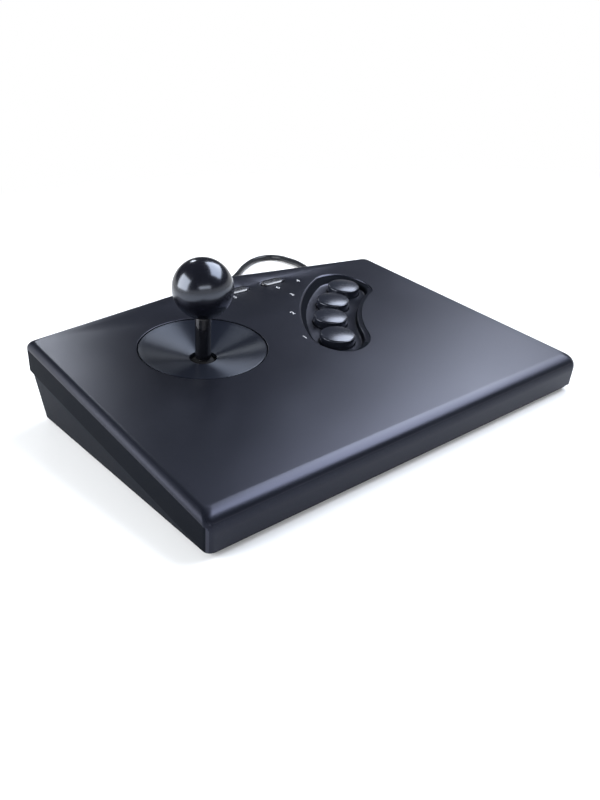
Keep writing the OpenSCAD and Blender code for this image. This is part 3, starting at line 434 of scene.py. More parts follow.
# colour, shade, fleck, share of flecks, scale of clouds and grain, depth of grain, roughness, its swing, gloss, tint
coolTint, skirtTint = (0.71, 0.74, 1.0), (0.8, 0.88, 1.0)
looks = {
    "case": ((0.002, 0.0026, 0.0048), (0.0028, 0.0036, 0.0062), (0.009, 0.011, 0.016), 0.2,
             14.0, 2600.0, 0.000006, 0.31, 0.025, 0.55, coolTint),
    "skirt": ((0.0026, 0.0034, 0.0056), (0.0036, 0.0046, 0.0074), (0.012, 0.014, 0.019), 0.2,
              16.0, 2200.0, 0.00001, 0.72, 0.04, 0.05, skirtTint),
    "front": ((0.0036, 0.0045, 0.008), (0.0048, 0.006, 0.01), (0.016, 0.019, 0.027), 0.2,
              16.0, 2400.0, 0.000008, 0.46, 0.03, 0.26, coolTint),
    "base": ((0.0046, 0.0056, 0.009), (0.006, 0.0072, 0.011), (0.02, 0.023, 0.032), 0.2,
             16.0, 2200.0, 0.000012, 0.7, 0.04, 0.09, skirtTint),
    "ball": ((0.0035, 0.0037, 0.006), (0.005, 0.0052, 0.008), (0.014, 0.015, 0.019), 0.1,
             30.0, 420.0, 0.0000015, 0.19, 0.03, 0.82, (0.78, 0.85, 1.0)),
    "sleeve": ((0.0045, 0.0047, 0.0065), (0.006, 0.0063, 0.0085), (0.015, 0.016, 0.02), 0.1,
               60.0, 1500.0, 0.0000003, 0.1, 0.02, 0.9),
    "button": ((0.007, 0.0082, 0.013), (0.009, 0.0105, 0.0165), (0.025, 0.028, 0.038), 0.1,
               40.0, 4200.0, 0.0000003, 0.27, 0.03, 0.82, (0.82, 0.86, 1.0)),
    "smallButton": ((0.006, 0.007, 0.01), (0.008, 0.009, 0.013), (0.02, 0.022, 0.03), 0.1,
                    60.0, 4200.0, 0.0000003, 0.22, 0.03, 1.0),
    "dust": ((0.006, 0.006, 0.0065), (0.009, 0.009, 0.01), (0.025, 0.025, 0.025), 0.3, 50.0, 1800.0, 0.000012, 0.75, 0.05, 0.1),
    "inner": ((0.02, 0.02, 0.022), (0.027, 0.027, 0.03), (0.06, 0.06, 0.06), 0.2, 40.0, 1600.0, 0.000015, 0.45, 0.05, 0.5),
    "white": ((0.62, 0.61, 0.56), (0.55, 0.54, 0.49), (0.4, 0.38, 0.33), 0.2, 60.0, 1200.0, 0.000012, 0.42, 0.06, 0.5),
    "switch": ((0.012, 0.012, 0.013), (0.022, 0.022, 0.024), (0.07, 0.07, 0.07), 0.2, 80.0, 1700.0, 0.000014, 0.48, 0.06, 0.5),
    "plug": ((0.014, 0.014, 0.016), (0.02, 0.02, 0.022), (0.05, 0.05, 0.055), 0.2, 50.0, 1500.0, 0.00002, 0.5, 0.05, 0.45),
    "digits": ((0.62, 0.63, 0.65), (0.52, 0.53, 0.56), (0.3, 0.3, 0.32), 0.4, 300.0, 5000.0, 0.000006, 0.5, 0.05, 0.4),
}
# colour, shade, fineness of the lines on each axis, roughness, depth of the lines
metals = {
    "leverSteel": ((0.55, 0.56, 0.58), (0.42, 0.43, 0.45), (900, 900, 60), 0.28, 0.00001),
    "plateSteel": ((0.5, 0.5, 0.52), (0.4, 0.4, 0.42), (60, 1400, 900), 0.38, 0.00001),
    "screwSteel": ((0.42, 0.42, 0.44), (0.3, 0.3, 0.32), (2400, 2400, 400), 0.34, 0.000008),
    "springSteel": ((0.5, 0.5, 0.53), (0.36, 0.36, 0.39), (1500, 1500, 1500), 0.3, 0.000006),
    "plugMetal": ((0.62, 0.61, 0.58), (0.5, 0.49, 0.46), (300, 1800, 1800), 0.3, 0.000008),
}
# colour, dust, scale of the specks, roughness, depth, gloss
rubbers = {
    "feet": ((0.012, 0.012, 0.012), (0.05, 0.048, 0.045), 420.0, 0.8, 0.00012, 0.3),
    "domes": ((0.32, 0.33, 0.33), (0.42, 0.42, 0.41), 260.0, 0.55, 0.00005, 0.4),
    "tie": ((0.014, 0.014, 0.015), (0.035, 0.034, 0.032), 700.0, 0.62, 0.00008, 0.35),
    "relief": ((0.013, 0.013, 0.015), (0.03, 0.03, 0.031), 500.0, 0.55, 0.00005, 0.4),
}
turnedLook = {"colour": (0.0055, 0.0068, 0.0115), "shade": (0.007, 0.0085, 0.014), "cloud": 60.0, "brushed": 1.0,
              "rough": 0.42, "specular": 0.47, "tint": (0.76, 0.84, 1.0)}
boardLook = {"lacquer": (0.012, 0.075, 0.03), "track": (0.03, 0.16, 0.06), "tin": (0.5, 0.5, 0.48), "tracks": 160.0,
             "dots": 240.0, "trackDepth": 0.00006}
wireLook = {"colours": [(0.25, 0.01, 0.01), (0.01, 0.01, 0.012), (0.3, 0.2, 0.01), (0.01, 0.12, 0.03), (0.02, 0.05, 0.3),
                        (0.35, 0.34, 0.32)], "scuff": (0.3, 0.28, 0.25)}
cordLook = {"colour": (0.006, 0.0065, 0.0085), "dust": (0.018, 0.019, 0.023), "skin": 500.0, "ripples": 2600.0,
            "rough": 0.32, "depth": 0.00002, "specular": 0.28}
paint = {}
for makeFinish, rows in ((mouldedFinish, looks), (metalFinish, metals), (rubberFinish, rubbers)):
    paint.update({key: makeFinish(key + "Finish", *row) for key, row in rows.items()})
paint["turned"] = turnedFinish("turnedFinish", turnedLook)
paint["board"] = boardFinish("boardFinish", boardLook)
paint["wires"] = wireFinish("wireFinish", wireLook)
paint["cord"] = jacketFinish("jacketFinish", cordLook)
print("stage: finishes ready", len(paint))


# the camera stands where the photographer stood

view = {"place": (-265.8, -339.0, 196.4), "azimuth": -38.19, "elevation": 24.63, "roll": -2.04, "lens": 33.98}


def setCamera(v):
    az, el, roll = (math.radians(v[k]) for k in ("azimuth", "elevation", "roll"))
    back = Vector((math.sin(az) * math.cos(el), -math.cos(az) * math.cos(el), math.sin(el)))
    right = (-back).cross(Vector((0, 0, 1))).normalized()
    up = right.cross(-back)
    right, up = right * math.cos(roll) + up * math.sin(roll), up * math.cos(roll) - right * math.sin(roll)
    data = bpy.data.cameras.new("camera")
    data.lens = v["lens"]
    data.sensor_width = 36
    data.clip_start = 0.01
    camera = addObject("camera", data)
    turn = Matrix((right, up, back)).transposed().to_4x4()
    camera.matrix_world = Matrix.Translation(Vector(v["place"]) * mm) @ turn
    bpy.context.scene.camera = camera


setCamera(view)
print("stage: camera set")


# cord: straight out of the back, round on the floor behind the case and into its coil

cord = {"diameter": 5.6, "sides": 20, "step": 2.0, "sharpAngle": 50,
        "base": (52.4375, 100.8268, 0), "exit": (57.2927, 125.8449, 19.0), "straight": (59.4264, 136.8398, 19.0),
        "steps": [(9.6, 52.2, 16), (11.6, 65.2, 11), (14.6, 78.2, 6.5), (19.6, 92.2, 3.6), (26.6, 106.2, 2.9),
                  (35.6, 119.2, 2.9), (46.6, 131.2, 2.9), (57.6, 141.2, 2.9), (68.6, 149.2, 2.9), (78.6, 157.2, 2.9),
                  (89.6, 167.2, 2.9), (100.6, 177.2, 2.9), (112.6, 186.2, 2.9), (124.6, 193.2, 2.9), (136.6, 196.2, 2.9),
                  (146.6, 192.2, 2.9), (151.6, 181.2, 2.9), (151.6, 168.2, 2.9), (150.6, 155.2, 2.9), (147.6, 143.2, 2.9),
                  (143.6, 131.2, 2.9), (137.6, 119.2, 2.9), (128.6, 109.2, 2.9), (115.6, 102.2, 3.1), (102.6, 98.2, 3.6),
                  (89.6, 97.2, 3.9)],
        "coilPlace": (118.0375, 155.0268), "coilRadius": 31, "coilTurns": 3.75, "coilGap": 0.6, "coilLow": 3.9, "climb": 0.5,
        "coilSteps": 48, "plugHeight": 7.5,
        "insideStart": [(51.0059, 93.4497, 19), (49.939, 87.9522, 19)],
        "insideSteps": [(-2.4, -16.8, 19), (-2.4, -25.8, 18.5), (-2.4, -34.8, 18), (-0.4, -44.8, 18), (2.6, -53.8, 19),
                        (5.6, -61.8, 21), (7.6, -68.8, 22.5), (9.6, -74.8, 22.8)]}
pitch = cord["diameter"] + cord["coilGap"]
coilOut = cord["coilRadius"] + pitch * cord["coilTurns"] / 2
coilIn = cord["coilRadius"] - pitch * cord["coilTurns"] / 2


def fromBase(steps):
    return [Vector(cord["base"]) + Vector(step) for step in steps]


def coilPoint(turn):
    turns = cord["coilTurns"]
    radius = coilOut - pitch * turn if turn < turns else coilIn + pitch * (turn - turns)
    x, y = around(90 + 360 * turn, radius)
    rise = smoothStep((turn - turns) / cord["climb"] + 0.5)
    return Vector((cord["coilPlace"][0] + x, cord["coilPlace"][1] + y, cord["coilLow"] + pitch * rise))


def cordLine():
    d, h, n = cord["diameter"], cord["plugHeight"], cord["coilSteps"]
    start, end = coilPoint(0), coilPoint(2 * cord["coilTurns"])
    plugX = end.x + 6 * d
    lead = [cord["exit"], cord["straight"], *fromBase(cord["steps"]), start + Vector((2 * d, 0, 0)), start + Vector((d, 0, 0))]
    coil = [coilPoint(k / n) for k in range(round(2 * n * cord["coilTurns"]) + 1)]
    tail = [(end.x + 1.5 * d, end.y, mix(end.z, h, 0.2)), (end.x + 3.2 * d, end.y, mix(end.z, h, 0.7)),
            (plugX - d, end.y, h), (plugX, end.y, h)]
    return smoothLine(lead + coil + tail, cord["step"])


cordTree, given = geometryTree("cordTube", {"Radius": "Float", "Sides": "Int"})
runLength = addNode(cordTree, "GeometryNodeSplineParameter").outputs["Length"]
marked = shapeNode(cordTree, "StoreNamedAttribute", {"Geometry": given["Geometry"], "Name": "along", "Value": runLength},
                   data_type="FLOAT", domain="POINT")
endTree(cordTree, given, tube(cordTree, marked, given["Radius"], given["Sides"]))


def cordPiece(name, points, nodes):
    sizes = {"Radius": cord["diameter"] / 2 * mm, "Sides": cord["sides"], "Material": paint["cord"]}
    piece = grow(name, lineCurve(name + "Line", points), cordTree, sizes, None, cord["sharpAngle"])
    return finishPiece(piece, nodes, None)


cordPoints = cordLine()
flexCord = cordPiece("flexCord", cordPoints, ("cord_lead", "cord_coil"))
cordPiece("leadInsideCase", smoothLine(cord["insideStart"] + fromBase(cord["insideSteps"]), cord["step"]), "lead_inside")

# tapered strain relief with open ribs, square to the right half of the back wall
relief = {"place": (51.9585, 98.3577, 19.0), "turn": 10.9825, "wall": 2.5, "slack": 1.0, "flangeR": 6.5, "flangeT": 1.5,
          "neckR": 4.4, "collarR": 5.6, "collarT": 3.0, "length": 24.0, "tipR": 3.6, "coreR": 3.3, "ribs": 6, "steps": 48}


def reliefProfile(r):
    start, flange, neck, collar, ribs = r["slack"] + r["collarT"], r["flangeR"], r["neckR"], r["collarR"], r["ribs"]
    inside = -r["wall"] - r["slack"]
    line = [(0, inside - r["flangeT"], 0), (flange, inside - r["flangeT"], 0.4), (flange, inside, 0.4), (neck, inside, 0.1),
            (neck, r["slack"], 0.1), (collar, r["slack"], 0.5), (collar, start, 0.6)]
    step = r["length"] / ribs
    for k in range(ribs):
        low, high = start + k * step + 0.12 * step, start + (k + 1) * step
        wide = mix(collar - 0.3, r["tipR"] + 0.25, (k + 0.7) / ribs)
        core = mix(neck, r["coreR"], (k + 0.5) / ribs)
        line += [(core, low, 0.25), (core, low + 0.28 * step, 0.25), (wide, low + 0.36 * step, 0.35), (wide, high, 0.35)]
    return line + [(cord["diameter"] / 2 - 0.05, start + r["length"], 0.1), (0, start + r["length"], 0)]


reliefTurn = Matrix.Rotation(math.radians(-relief["turn"]), 4, "Z") @ Matrix.Rotation(math.radians(-90), 4, "X")
reliefPiece = turnedPiece("strainReliefBoot", softLine(reliefProfile(relief), 3),
                          Matrix.Translation(relief["place"]) @ reliefTurn, relief["steps"])
finishPiece(reliefPiece, "strain_relief", "relief")

# tie strap round the coil, with rounded corners and shallow grooves
tie = {"wide": 8.0, "thick": 0.8, "slack": 0.5, "round": 1.8, "grooves": 3, "groove": 0.12, "cornerSteps": 6}


def buildTie():
    d, thick, half, deep, n = cord["diameter"], tie["thick"], tie["wide"] / 2, tie["groove"], tie["cornerSteps"]
    span = coilOut - coilIn + d + 2 * tie["slack"]
    high = cord["coilLow"] + pitch + d / 2 + tie["slack"] - thick
    cx, cy, cz = cord["coilPlace"][0] - cord["coilRadius"], cord["coilPlace"][1], thick + high / 2

    def loop(out, y):
        w, h, r = span / 2 + out, high / 2 + out, tie["round"] + out - thick
        ring = []
        for sx, sz, first in ((1, 1, 0), (-1, 1, 90), (-1, -1, 180), (1, -1, 270)):
            for k in range(n + 1):
                a, b = around(first + 90 * k / n, r)
                ring.append((cx + sx * (w - r) + a, cy + y, cz + sz * (h - r) + b))
        return ring
    outs = [(-half, deep), (-half + deep, 0)]
    for k in range(tie["grooves"]):
        mid = -half + tie["wide"] * (k + 1) / (tie["grooves"] + 1)
        outs += [(mid - 0.3, 0), (mid - 0.15, deep), (mid + 0.15, deep), (mid + 0.3, 0)]
    outs += [(half - deep, 0), (half, deep)]
    bm = bmesh.new()
    rings = [addRing(bm, loop(thick - down, y)) for y, down in outs] + [addRing(bm, loop(0, y)) for y in (half, -half)]
    skin(bm, rings + rings[:1])
    return bm


tiePiece = newMeshPiece("coilTieStrap", buildTie(), floorFrame)
finishPiece(tiePiece, "cord_tie", "tie")

print("stage: strain relief and tie")


# top cover: rolled edges, lever dish, finger recess and two small wells

cover = {"width": 270, "sideLength": 192, "peakLength": 214, "peakU": 23, "skirt": 19, "frontRoll": 9, "edgeRound": 4.5,
         "corner": 4, "wall": 2.8, "trayWall": 2.6, "cornerSteps": 12, "rollSteps": 14, "lowBevel": 0.4}
halfWidth = cover["width"] / 2
outline = [(-halfWidth, 0), (halfWidth, 0), (halfWidth, cover["sideLength"]), (cover["peakU"], cover["peakLength"]),
           (-halfWidth, cover["sideLength"])]


def edgeWay(i):
    # the way along edge i of the outline, which starts at corner i
    return (Vector(outline[(i + 1) % 5]) - Vector(outline[i % 5])).normalized()


def cornerAt(i, a, b):
    # corner i, set in by a from the edge before it and by b from the edge after it
    e0, e1 = edgeWay(i + 4), edgeWay(i)
    n0, n1 = Vector((-e0.y, e0.x)), Vector((-e1.y, e1.x))
    det = n0.x * n1.y - n0.y * n1.x
    return Vector(outline[i]) + Vector(((a * n1.y - b * n0.y) / det, (b * n0.x - a * n1.x) / det))


def cornerRound(i, a, b):
    # the same corner, rounded
    p, r, steps = cornerAt(i, a, b), cover["corner"], cover["cornerSteps"]
    d0, d1 = edgeWay(i + 4), edgeWay(i)
    start = math.atan2(d0.y, d0.x)
    turn = math.acos(max(-1, min(1, d0.dot(d1))))
    mid = p - d0 * r * math.tan(turn / 2) + Vector((-d0.y, d0.x)) * r
    ways = [start + turn * k / steps - math.pi / 2 for k in range(steps + 1)]
    return [mid + r * Vector((math.cos(a), math.sin(a))) for a in ways]


def coverRing(g, angle, w=None, more=0.0):
    # one ring of the cover, set in by g from its outer faces, at one angle of the rolled edge
    c, s = math.cos(math.radians(angle)), math.sin(math.radians(angle))
    front, side = cover["frontRoll"], cover["edgeRound"]
    frontIn, sideIn = (front - g) * (1 - c) + g + more, (side - g) * (1 - c) + g + more
    frontW, sideW = (front - g) * s - front, (side - g) * s - side
    steps, ring = cover["cornerSteps"], []
    for i in range(5):
        for k, p in enumerate(cornerRound(i, frontIn if i == 1 else sideIn, frontIn if i == 0 else sideIn)):
            share = k / steps if i == 0 else (1 - k / steps if i == 1 else 0)
            ring.append((p.x, p.y, mix(sideW, frontW, share) if w is None else w))
    return ring


recess = {"u": 131, "v": 53.5, "radius": 115, "depth": 5, "rimIn": 94.3, "rimOutLeft": 132.5, "rimOutRight": 138.6,
          "rimLeft": 166.5, "rimRight": 106.6, "pitIn": 98.6, "pitOutLeft": 127.6, "pitOutRight": 133, "pitLeft": 163.6,
          "pitRight": 109, "endLeft": 24, "endRight": 17, "endSteps": 14, "bandSteps": 30,
          "outerLine": [(0, 0), (0.06, -0.06), (0.13, -0.3), (0.2, -0.7), (0.32, -1.42), (0.45, -2.2), (0.58, -2.98),
                        (0.7, -3.68), (0.8, -4.25), (0.88, -4.66), (0.94, -4.88), (1, -5)],
          "innerLine": [(0, 0), (0.02, -0.1), (0.04, -0.35), (0.06, -0.75), (0.12, -0.85), (0.58, -1.2), (0.67, -1.45),
                        (0.72, -2.1), (0.77, -3.2), (0.83, -4.2), (0.91, -4.78), (1, -5)]}


def recessRing(outer, inner, grow=0.0, down=0.0):
    # outer and inner are (share of the way from rim to floor, height) on the wall away from and next to the arc's middle
    r = recess
    perMm = 180 / (math.pi * r["radius"])
    k = (outer[0] + inner[0]) / 2
    inR = mix(r["rimIn"], r["pitIn"], inner[0]) - grow
    left = mix(r["rimLeft"], r["pitLeft"], k) + grow * perMm
    right = mix(r["rimRight"], r["pitRight"], k) - grow * perMm
    outLeft = mix(r["rimOutLeft"], r["pitOutLeft"], outer[0]) + grow
    outRight = mix(r["rimOutRight"], r["pitOutRight"], outer[0]) + grow
    el, er, n, band = r["endLeft"] * perMm, r["endRight"] * perMm, r["endSteps"], r["bandSteps"]
    bends = [(1 - math.cos(math.radians(90 * j / n)), math.sin(math.radians(90 * j / n))) for j in range(n + 1)]
    stations = [(right + er * a, h) for a, h in bends]
    stations += [(mix(right + er, left - el, j / band), 1) for j in range(1, band)]
    stations += [(left - el * a, h) for a, h in bends[::-1]]
    last = len(stations) - 1
    ring = []
    for j in range(2 * last):
        a, h = stations[j if j <= last else 2 * last - j]
        side = 1 if j <= last else -1
        outR = mix(outRight, outLeft, (a - right) / (left - right))
        x, y = around(a, (inR + outR) / 2 + side * h * (outR - inR) / 2)
        ring.append((r["u"] + x, r["v"] + y, mix(inner[1], outer[1], (1 + side * h) / 2) - down))
    return ring


caps = {"first": 115.9, "step": 13.132, "diameter": 22, "gap": 0.3, "collar": 0.5, "collarHigh": 0.5, "steps": 72}
pills = {"u": 26, "v": 188.5, "apart": 30, "length": 17, "width": 7, "dip": 1.2, "dipLength": 21, "dipWidth": 10, "under": 3.6,
         "gap": 0.3}
dish = {"radius": 38.2, "depth": 7.1, "hole": 8.0, "groove": 0.8, "hollow": 1.12, "steps": 128, "hollowSteps": 12}


def capPlace(i, radius=recess["radius"]):
    x, y = around(caps["first"] + (4 - i) * caps["step"], radius)
    return recess["u"] + x, recess["v"] + y


def pillPlace(s):
    return pills["u"] + s * pills["apart"] / 2, pills["v"]


def dishWall(bm):
    # outer and inner faces of the dish, joined at its throat
    r, g, hole, depth, wall = dish["radius"], dish["groove"], dish["hole"], dish["depth"], cover["wall"]
    under, start, top = -depth - wall, r - g - 0.3, -0.34
    line = [(r + 0.5, 0.0), (r + 0.12, -0.02), (r, -0.12), (r - 0.05, -g * 1.3), (r - g, -g * 1.3), (r - g - 0.1, -0.42),
            (start, top)]
    for k in range(dish["hollowSteps"]):
        share = (k + 1) / dish["hollowSteps"]
        line.append((mix(start, hole + 0.5, share), mix(top, -depth + 0.05, share ** (1 / dish["hollow"]))))
    line += [(hole + 0.12, -depth - 0.1), (hole, -depth - 0.5), (hole, under + 0.3), (hole + 0.3, under), (hole + wall, under),
             (r + wall, -wall)]
    rings = skin(bm, [circleRing(leverPlace["u"], leverPlace["v"], radius, w, dish["steps"]) for radius, w in line])
    return rings[0], rings[-1]


def recessWall(bm):
    depth, tray, hole = recess["depth"], cover["trayWall"], caps["diameter"] / 2 + caps["gap"]
    pairs = [((-0.06, 0), (-0.06, 0)), *zip(recess["outerLine"], recess["innerLine"])]
    rings = skin(bm, [recessRing(a, b) for a, b in pairs])
    under = [recessRing((0, -cover["wall"]), (0, -cover["wall"]), tray)]
    inner = skin(bm, under + [recessRing(spot, spot, tray, tray) for spot in recess["outerLine"][4:]])
    top = -depth + caps["collarHigh"]
    line = [(hole + caps["collar"], -depth), (hole + caps["collar"] * 0.7, top - 0.08), (hole + 0.15, top), (hole, top - 0.15),
            (hole, -depth - tray)]
    holes = [skin(bm, [circleRing(*capPlace(i), r, w, caps["steps"]) for r, w in line]) for i in range(1, 5)]
    fillSheet(bm, rings[-1], [hole[0] for hole in holes])
    fillSheet(bm, inner[-1], [hole[-1] for hole in holes])
    return rings[0], inner[0]


def pillWall(bm, s):
    p, wall, spare = pills, cover["wall"], 2 * pills["gap"]
    dip = [(0.5, 0), (0, -0.12), (-0.4, -0.5), (-1.2, -p["dip"] + 0.15), (-1.9, -p["dip"])]
    line = [(p["dipLength"] + more, p["dipWidth"] + more, w) for more, w in dip]
    line += [(p["length"] + spare, p["width"] + spare, w) for w in (-p["dip"], -p["under"])]
    line += [(p["dipLength"] + wall, p["dipWidth"] + wall, w) for w in (-p["under"], -wall)]
    rings = skin(bm, [slotRing(*pillPlace(s), *row) for row in line])
    return rings[0], rings[-1]


def buildCover():
    bm = bmesh.new()
    n, wall, low, bevel = cover["rollSteps"], cover["wall"], -cover["skirt"], cover["lowBevel"]
    outer = [coverRing(wall, 0, low), coverRing(bevel, 0, low), coverRing(0, 0, low + bevel)]
    outer += [coverRing(0, 90 * k / n) for k in range(n + 1)]
    rings = skin(bm, outer + [coverRing(0, 90, 0, 0.5)])
    inner = skin(bm, [rings[0]] + [coverRing(wall, 90 * k / n) for k in range(0, n + 1, 2)])
    holes = [dishWall(bm), recessWall(bm), pillWall(bm, 1), pillWall(bm, -1)]
    fillSheet(bm, rings[-1], [hole[0] for hole in holes])
    fillSheet(bm, inner[-1], [hole[1] for hole in holes])
    return bm


coverPiece = newMeshPiece("topCoverShell", buildCover(), lidFrame, 40)
finishPiece(coverPiece, "top_cover", "case")
for key in ("skirt", "turned", "front"):
    coverPiece.data.materials.append(paint[key])
dullSlot, dishSlot, frontSlot = 1, 2, 3
# where the finishes part: heights from the lid's plane, and the steep spans of the recess walls
zones = {"skirtBelow": -12, "sideBelow": -5, "frontBelow": -4, "rimAbove": -5, "rimLeftOf": -100,
         "ledge": (-0.7, -0.12), "underLedge": (-4.4, -1.4), "outerWall": (-4.65, -0.75)}
intoLid = (Matrix.Scale(mm, 4) @ lidFrame).inverted()
grooveR = dish["radius"] - dish["groove"]


def inRecess(spot):
    # the steep parts of the recess wall; the ledge next to the arc's middle and the fillets stay glossy
    r, x, y = recess, spot.x - recess["u"], spot.y - recess["v"]
    away, way = math.hypot(x, y), math.degrees(math.atan2(y, x))
    if not (r["rimIn"] - 0.1 < away < r["rimOutRight"] + 1 and r["rimRight"] - 1 < way < r["rimLeft"] + 1):
        return False
    spans = ("ledge", "underLedge") if away < r["pitIn"] + 1.5 else ("outerWall",)
    return any(zones[span][0] < spot.z < zones[span][1] for span in spans)


def coverSlot(spot, normal):
    # throat, groove, recess walls and the drafted skirt are dull; the front and the left rim have their own grain
    away = math.hypot(spot.x - leverPlace["u"], spot.y - leverPlace["v"])
    if dish["hole"] + 0.3 < away < grooveR - 0.1 and spot.z > -dish["depth"] - 0.05:
        return dishSlot
    if away < dish["hole"] + 0.3 or grooveR - 0.05 < away < dish["radius"] and spot.z < -0.2:
        return dullSlot
    if inRecess(spot) or normal.z < -0.4 and spot.z < zones["skirtBelow"]:
        return dullSlot
    onRim = spot.z > zones["rimAbove"] and spot.x < zones["rimLeftOf"]
    if normal.y < -0.8 and spot.z < zones["frontBelow"] or normal.x < -0.3 and onRim:
        return frontSlot
    onSide = abs(normal.z) < 0.35 and normal.y > -0.5 and spot.z < zones["sideBelow"]
    return dullSlot if onSide and away > dish["radius"] + 5 else 0


for face in coverPiece.data.polygons:
    face.material_index = coverSlot(intoLid @ face.center, face.normal)
print("stage: top cover", len(coverPiece.data.polygons), "faces")


# base pan under the cover, with its screw posts

base = {"inset": 1.2, "wall": 2.5, "draft": 0.08, "under": 1.5, "floor": 4.0, "lowRound": 1.2, "postU": 118,
        "postV": (24, 101.5, 172), "wellR": 4.2, "wellBevel": 0.35, "postR": 6.0, "screwHoleR": 1.7, "postTop": 3.2,
        "postSteps": 40}


def toModel(u, v, w):
    return Vector((u, slope["frontY"] + v * cosTilt - w * sinTilt, slope["frontZ"] + v * sinTilt + w * cosTilt))


def baseRing(inset, w):
    return [toModel(p.x, p.y, w) for i in range(5) for p in cornerRound(i, inset, inset)]


def baseLowRing(inset, z, more=0.0):
    # a level ring of the pan, which narrows downward from the cover's lower edge
    ring = []
    for i in range(5):
        corner = cornerAt(i, base["inset"], base["inset"])
        m = inset + base["draft"] * (toModel(corner.x, corner.y, -cover["skirt"]).z - z) + more
        for p in cornerRound(i, m, m):
            ring.append(Vector((p.x, toModel(p.x, p.y, -cover["skirt"]).y, z)))
    return ring


def postRing(u, v, radius, z, w=None):
    # where a round along the top's own normal meets a level plane, or lies at one depth
    ring = []
    for k in range(base["postSteps"]):
        x, y = around(360 * k / base["postSteps"], radius)
        depth = (z - slope["frontZ"] - (v + y) * sinTilt) / cosTilt if w is None else w
        ring.append(toModel(u + x, v + y, depth))
    return ring


def buildBase():
    bm = bmesh.new()
    b, low, skirt, r, bevel = base, base["under"], -cover["skirt"], base["lowRound"], base["wellBevel"]
    bends = [math.radians(90 * k / 5) for k in range(6)]
    edge = [addRing(bm, baseLowRing(b["inset"], low + r * (1 - math.sin(a)), r * (1 - math.cos(a)))) for a in bends]
    inset = b["inset"] + b["wall"]
    pan = skin(bm, edge[::-1] + [baseRing(b["inset"], skirt), baseRing(inset, skirt), baseLowRing(inset, b["floor"])])
    roof, top = skirt - b["postTop"], skirt - 0.05
    line = [(b["wellR"] + bevel, low), (b["wellR"], low + bevel), (b["wellR"], 0, roof), (b["screwHoleR"], 0, roof),
            (b["screwHoleR"], 0, top), (b["postR"], 0, top), (b["postR"], b["floor"])]
    posts = [skin(bm, [postRing(s * b["postU"], v, *row) for row in line]) for s in (-1, 1) for v in b["postV"]]
    fillSheet(bm, pan[0], [post[0] for post in posts])
    fillSheet(bm, pan[-1], [post[-1] for post in posts])
    return bm


basePiece = newMeshPiece("baseShellPan", buildBase(), floorFrame, 40)
finishPiece(basePiece, "base_shell", "base")
print("stage: base", len(basePiece.data.polygons), "faces")

# rubber feet: ribbed discs, one set by a point tree
feet = {"x": 100, "y": (-84.0235, 65.8650), "steps": 48,
        "line": [(0, 0.25, 0), (2.2, 0.25, 0.1), (2.5, 0, 0.1), (4.2, 0, 0.1), (4.5, 0.25, 0.1), (5.2, 0.25, 0.1), (5.5, 0, 0.1),
                 (8.5, 0, 0.4), (9.0, 0.55, 0.4), (9.0, 1.5, 0), (0, 1.5, 0)]}
footShape = turnedPiece("footShape", softLine(feet["line"], 3), floorFrame, feet["steps"])
copyTree, given = geometryTree("setCopies", {"Copy": "Object"})
shape = addNode(copyTree, "GeometryNodeObjectInfo", {"Object": given["Copy"]}).outputs["Geometry"]
endTree(copyTree, given, shapeNode(copyTree, "InstanceOnPoints", {"Points": given["Geometry"], "Instance": shape}))
footPlaces = [(s * feet["x"], y, 0) for s in (-1, 1) for y in feet["y"]]
feetPiece = grow("rubberFeetSet", pointMesh("feetPoints", footPlaces), copyTree, {"Copy": footShape, "Material": paint["feet"]})
bpy.data.objects.remove(footShape)
finishPiece(feetPiece, "rubber_feet", None)
print("stage: feet")


# screws, all from one point tree

def screwTreeMake():
    # the underside of the head is at zero, the head goes down, the shank up
    names = ("Head radius", "Head height", "Shank radius", "Length", "Thread turns")
    tree, given = geometryTree("crossScrew", dict.fromkeys(names, "Float"))

    def times(name, factor):
        return maths(tree, "MULTIPLY", given[name], factor)

    def lift(part, z):
        return shapeNode(tree, "Transform", {"Geometry": part, "Translation": lookNode(tree, "CombineXYZ", {"Z": z})})

    def cube(x, y):
        size = lookNode(tree, "CombineXYZ", {"X": x, "Y": y, "Z": given["Head height"]})
        return lift(shapeNode(tree, "MeshCube", {"Size": size}), times("Head height", -1.0))
    head = shapeNode(tree, "MeshCone", {"Vertices": 28, "Radius Top": times("Head radius", 0.99),
                                        "Radius Bottom": times("Head radius", 0.72), "Depth": given["Head height"]})
    long, thin = times("Head radius", 1.15), times("Head radius", 0.26)
    cross = addNode(tree, "GeometryNodeMeshBoolean", operation="DIFFERENCE")
    tree.links.new(lift(head, times("Head height", -1.0)), cross.inputs["Mesh 1"])
    for cut in (cube(long, thin), cube(thin, long)):
        tree.links.new(cut, cross.inputs["Mesh 2"])
    shank = shapeNode(tree, "MeshCylinder", {"Vertices": 20, "Radius": times("Shank radius", 0.86), "Depth": given["Length"]})
    core = times("Shank radius", 0.84)
    helix = shapeNode(tree, "CurveSpiral", {"Resolution": 16, "Rotations": given["Thread turns"], "Start Radius": core,
                                            "End Radius": core, "Height": times("Length", 0.85)})
    thread = tube(tree, lift(helix, times("Length", 0.08)), times("Shank radius", 0.16), 4)
    whole = addNode(tree, "GeometryNodeJoinGeometry")
    for part in (thread, lift(shank, times("Length", 0.5)), cross.outputs[0]):
        tree.links.new(part, whole.inputs[0])
    endTree(tree, given, shapeNode(tree, "InstanceOnPoints", {"Points": given["Geometry"], "Instance": whole.outputs[0]}))
    return tree


